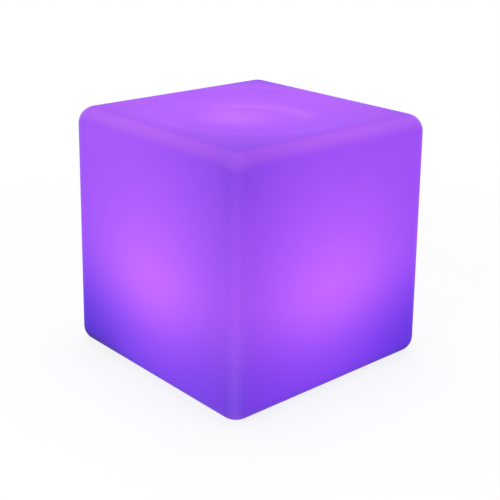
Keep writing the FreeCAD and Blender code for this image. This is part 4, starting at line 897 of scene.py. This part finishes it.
# %% [markdown]
# Three pieces take part in the light. The LED windows are the brightest thing in the module, the milky dome
# over them glows most at its crown, and the charge light is a small green spot.

# %% Lit pieces
def lit_window(name, colour, strength):
    window = new_finish(name)
    grains = window.noise(window.place(), scale=2500.0)
    return window.surface(
        base_color=window.blend(grains, darker(colour, 0.15), colour),
        roughness=0.12 + 0.1 * grains,
        emission_color=window.blend(grains * 0.3, colour, (1.0, 0.9, 1.0)),
        emission_strength=strength,
    )


def milky_dome(name):
    dome = new_finish(name)
    spot = dome.place()
    lowest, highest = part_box("diffuser_dome")
    crown = dome.between(dome.axes(spot)[2], lowest[2], highest[2])
    haze = dome.noise(spot, scale=180.0, detail=3.0)
    return dome.surface(
        base_color=dome.blend(haze, (0.50, 0.46, 0.56), (0.58, 0.54, 0.64)),
        roughness=0.45 + 0.1 * haze,
        emission_color=dome.blend(crown, (0.16, 0.05, 0.42), (0.40, 0.12, 0.80)),
        emission_strength=1.0,
        normal=dome.bump(haze, strength=0.1, distance=0.0002),
    )


charge_light = lit_window("charge_light", (0.10, 0.85, 0.25), strength=1.0)
finishes |= {
    "led_window": lit_window("led_window", (0.62, 0.30, 1.0), strength=4.0),
    "dome_opal": milky_dome("milky_dome"),
}
print("with the lit pieces:", len(finishes))

# %% [markdown]
# The five wires of the harness are one piece of the CAD model, and lie side by side along X. So one finish
# can colour them all: it counts how many wires from the end a spot lies, and takes that wire's colour.

# %% Wires of the harness
harness_colours = {
    "red": (0.45, 0.012, 0.010),
    "green": (0.02, 0.26, 0.04),
    "blue": (0.02, 0.06, 0.45),
    "white": (0.70, 0.70, 0.70),
    "black": (0.02, 0.02, 0.022),
}
lowest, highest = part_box("led_harness")
wire_pitch = (highest[0] - lowest[0]) / len(harness_colours)

harness = new_finish("harness_wires")
spot = harness.place()
wires_along = (harness.axes(spot)[0] - lowest[0]) / wire_pitch
wire_colour, *other_colours = harness_colours.values()
for number, next_colour in enumerate(other_colours, 1):
    past_wire = harness.maths("GREATER_THAN", wires_along, number)
    wire_colour = harness.blend(past_wire, wire_colour, next_colour)
scuffs = harness.noise(spot, scale=700.0)
finishes["wire_mixed"] = harness.surface(
    base_color=harness.blend(scuffs * 0.25, wire_colour, (0.5, 0.5, 0.5)),
    roughness=0.45 + 0.15 * scuffs,
    normal=harness.bump(scuffs, strength=0.2, distance=3e-5),
)
print("each wire takes", round(wire_pitch * 1000, 2), "mm of the harness")

# %% [markdown]
# Each piece in the record names a slot, and now gets that slot's finish. The charge light shares its slot
# with the LED housings, but it is lit, so its own finish comes last.

# %% One finish for each slot
dressed = 0
for part in frame["record"]["subparts"]:
    if part["material_slot"] in finishes:
        piece = dress(nodes[part["node"]], finishes[part["material_slot"]])
        dressed += 1
dress(nodes["charge_led"], charge_light)
print(dressed, "pieces dressed in", len(finishes), "finishes")

# %% [markdown]
# ## Floor, room and lamps
#
# The object stands in a white room. A strong white light would be the obvious way, but it would wash the
# glow out. So only what is seen is white: rays from the camera, in reflections and through clear plastic
# meet plain white, and every other ray finds soft daylight at half strength. The floor shines white to
# those rays too, with enough real paper left in it round the object to keep the object's shadow. From below
# it is clear, so that the base can be looked at.

# %% White floor
paper_share = 0.16  # how much of the seen floor near the object is lit paper
paper_near, paper_far = 0.5, 1.3
floor_reach = 60.0  # from the middle to each side
floor_gap = 0.0003  # the floor lies a hair below the feet, so that no two faces share one plane


def seen_ray(finish):
    """One for rays from the camera, in reflections and through clear pieces. Nought for those that light."""
    rays = finish.node("ShaderNodeLightPath").socket.node.outputs
    seen = Amount(finish, rays["Is Camera Ray"]) + Amount(finish, rays["Is Glossy Ray"])
    return finish.smaller(seen + Amount(finish, rays["Is Transmission Ray"]), 1.0)


paper = new_finish("white_paper")
spot = paper.place()
fibres = paper.noise(spot, scale=6.0, detail=4.0)
reach = paper.node("ShaderNodeVectorMath", {"operation": "LENGTH"}, {0: spot}, output=1)
lit_share = paper.between(reach, paper_near, paper_far, paper_share, 0)
sheet_colour = paper.blend(fibres, (0.93, 0.93, 0.93), (0.96, 0.96, 0.96))
sheet = paper.node("ShaderNodeBsdfDiffuse", inputs={"Color": sheet_colour})
shine = paper.node("ShaderNodeEmission", inputs={"Strength": 1.0})
seen_part = seen_ray(paper) * (1 - lit_share)
from_above = paper.node("ShaderNodeMixShader", inputs={0: seen_part, 1: sheet, 2: shine})
clear = paper.node("ShaderNodeBsdfTransparent")
below = Amount(paper, paper.node("ShaderNodeNewGeometry").socket.node.outputs["Backfacing"])
both_sides = paper.node("ShaderNodeMixShader", inputs={0: below, 1: from_above, 2: clear})
paper.node("ShaderNodeOutputMaterial", inputs={"Surface": both_sides})

ground = bpy.data.meshes.new("floor")
bm = bmesh.new()
bmesh.ops.create_grid(bm, x_segments=1, y_segments=1, size=floor_reach)
bmesh.ops.translate(bm, verts=bm.verts, vec=(0, 0, -floor_gap))
bm.to_mesh(ground)
bm.free()
floor = bpy.data.objects.new("floor", ground)
bpy.context.scene.collection.objects.link(floor)
dress(floor, paper.owner)
print("floor", tuple(round(side, 1) for side in floor.dimensions))

# %% [markdown]
# The room is the world's own colour. Its daylight is even from all sides, so it shows every finish without
# a hard shadow.

# %% Soft room
daylight = 0.5
world = bpy.data.worlds.new("soft_room")
bpy.context.scene.world = world
room = Finish(world)
strength = seen_ray(room) * (1 - daylight) + daylight
sky = room.node("ShaderNodeBackground", inputs={"Color": (1, 1, 1, 1), "Strength": strength})
room.node("ShaderNodeOutputWorld", inputs={"Surface": sky})
print("the room lights at", daylight, "and is seen at 1")

# %% [markdown]
# A large lamp overhead and two at the sides bring the light up to a plain level. They hardly show on the
# glowing skin, and matter most for the dark pieces underneath. Disks give softer highlights than points.

# %% Lamps
cube_middle = Vector((0, 0, (cube_bottom + cube_top) / 2))


def lamp(name, place, across, power):
    """A soft round lamp, turned towards the middle of the cube."""
    data = bpy.data.lights.new(name, "AREA")
    data.shape, data.size, data.energy = "DISK", across, power
    made = bpy.data.objects.new(name, data)
    bpy.context.scene.collection.objects.link(made)
    made.location = place
    made.rotation_mode = "QUATERNION"
    made.rotation_quaternion = (cube_middle - Vector(place)).to_track_quat("-Z", "Y")


lamp("overhead", (0.2, 0.3, 2.6), across=1.6, power=30)
lamp("left", (-2.2, -0.4, 1.4), across=1.2, power=16)
lamp("right", (0.6, -2.4, 1.1), across=1.2, power=10)
print("lamps:", [data.name for data in bpy.data.lights])

# %% [markdown]
# ## Size
#
# The frame's own box is printed at the end.

# %% Print the CAD box
print("cad box", [tuple(round(v, 4) for v in corner) for corner in cad_box])
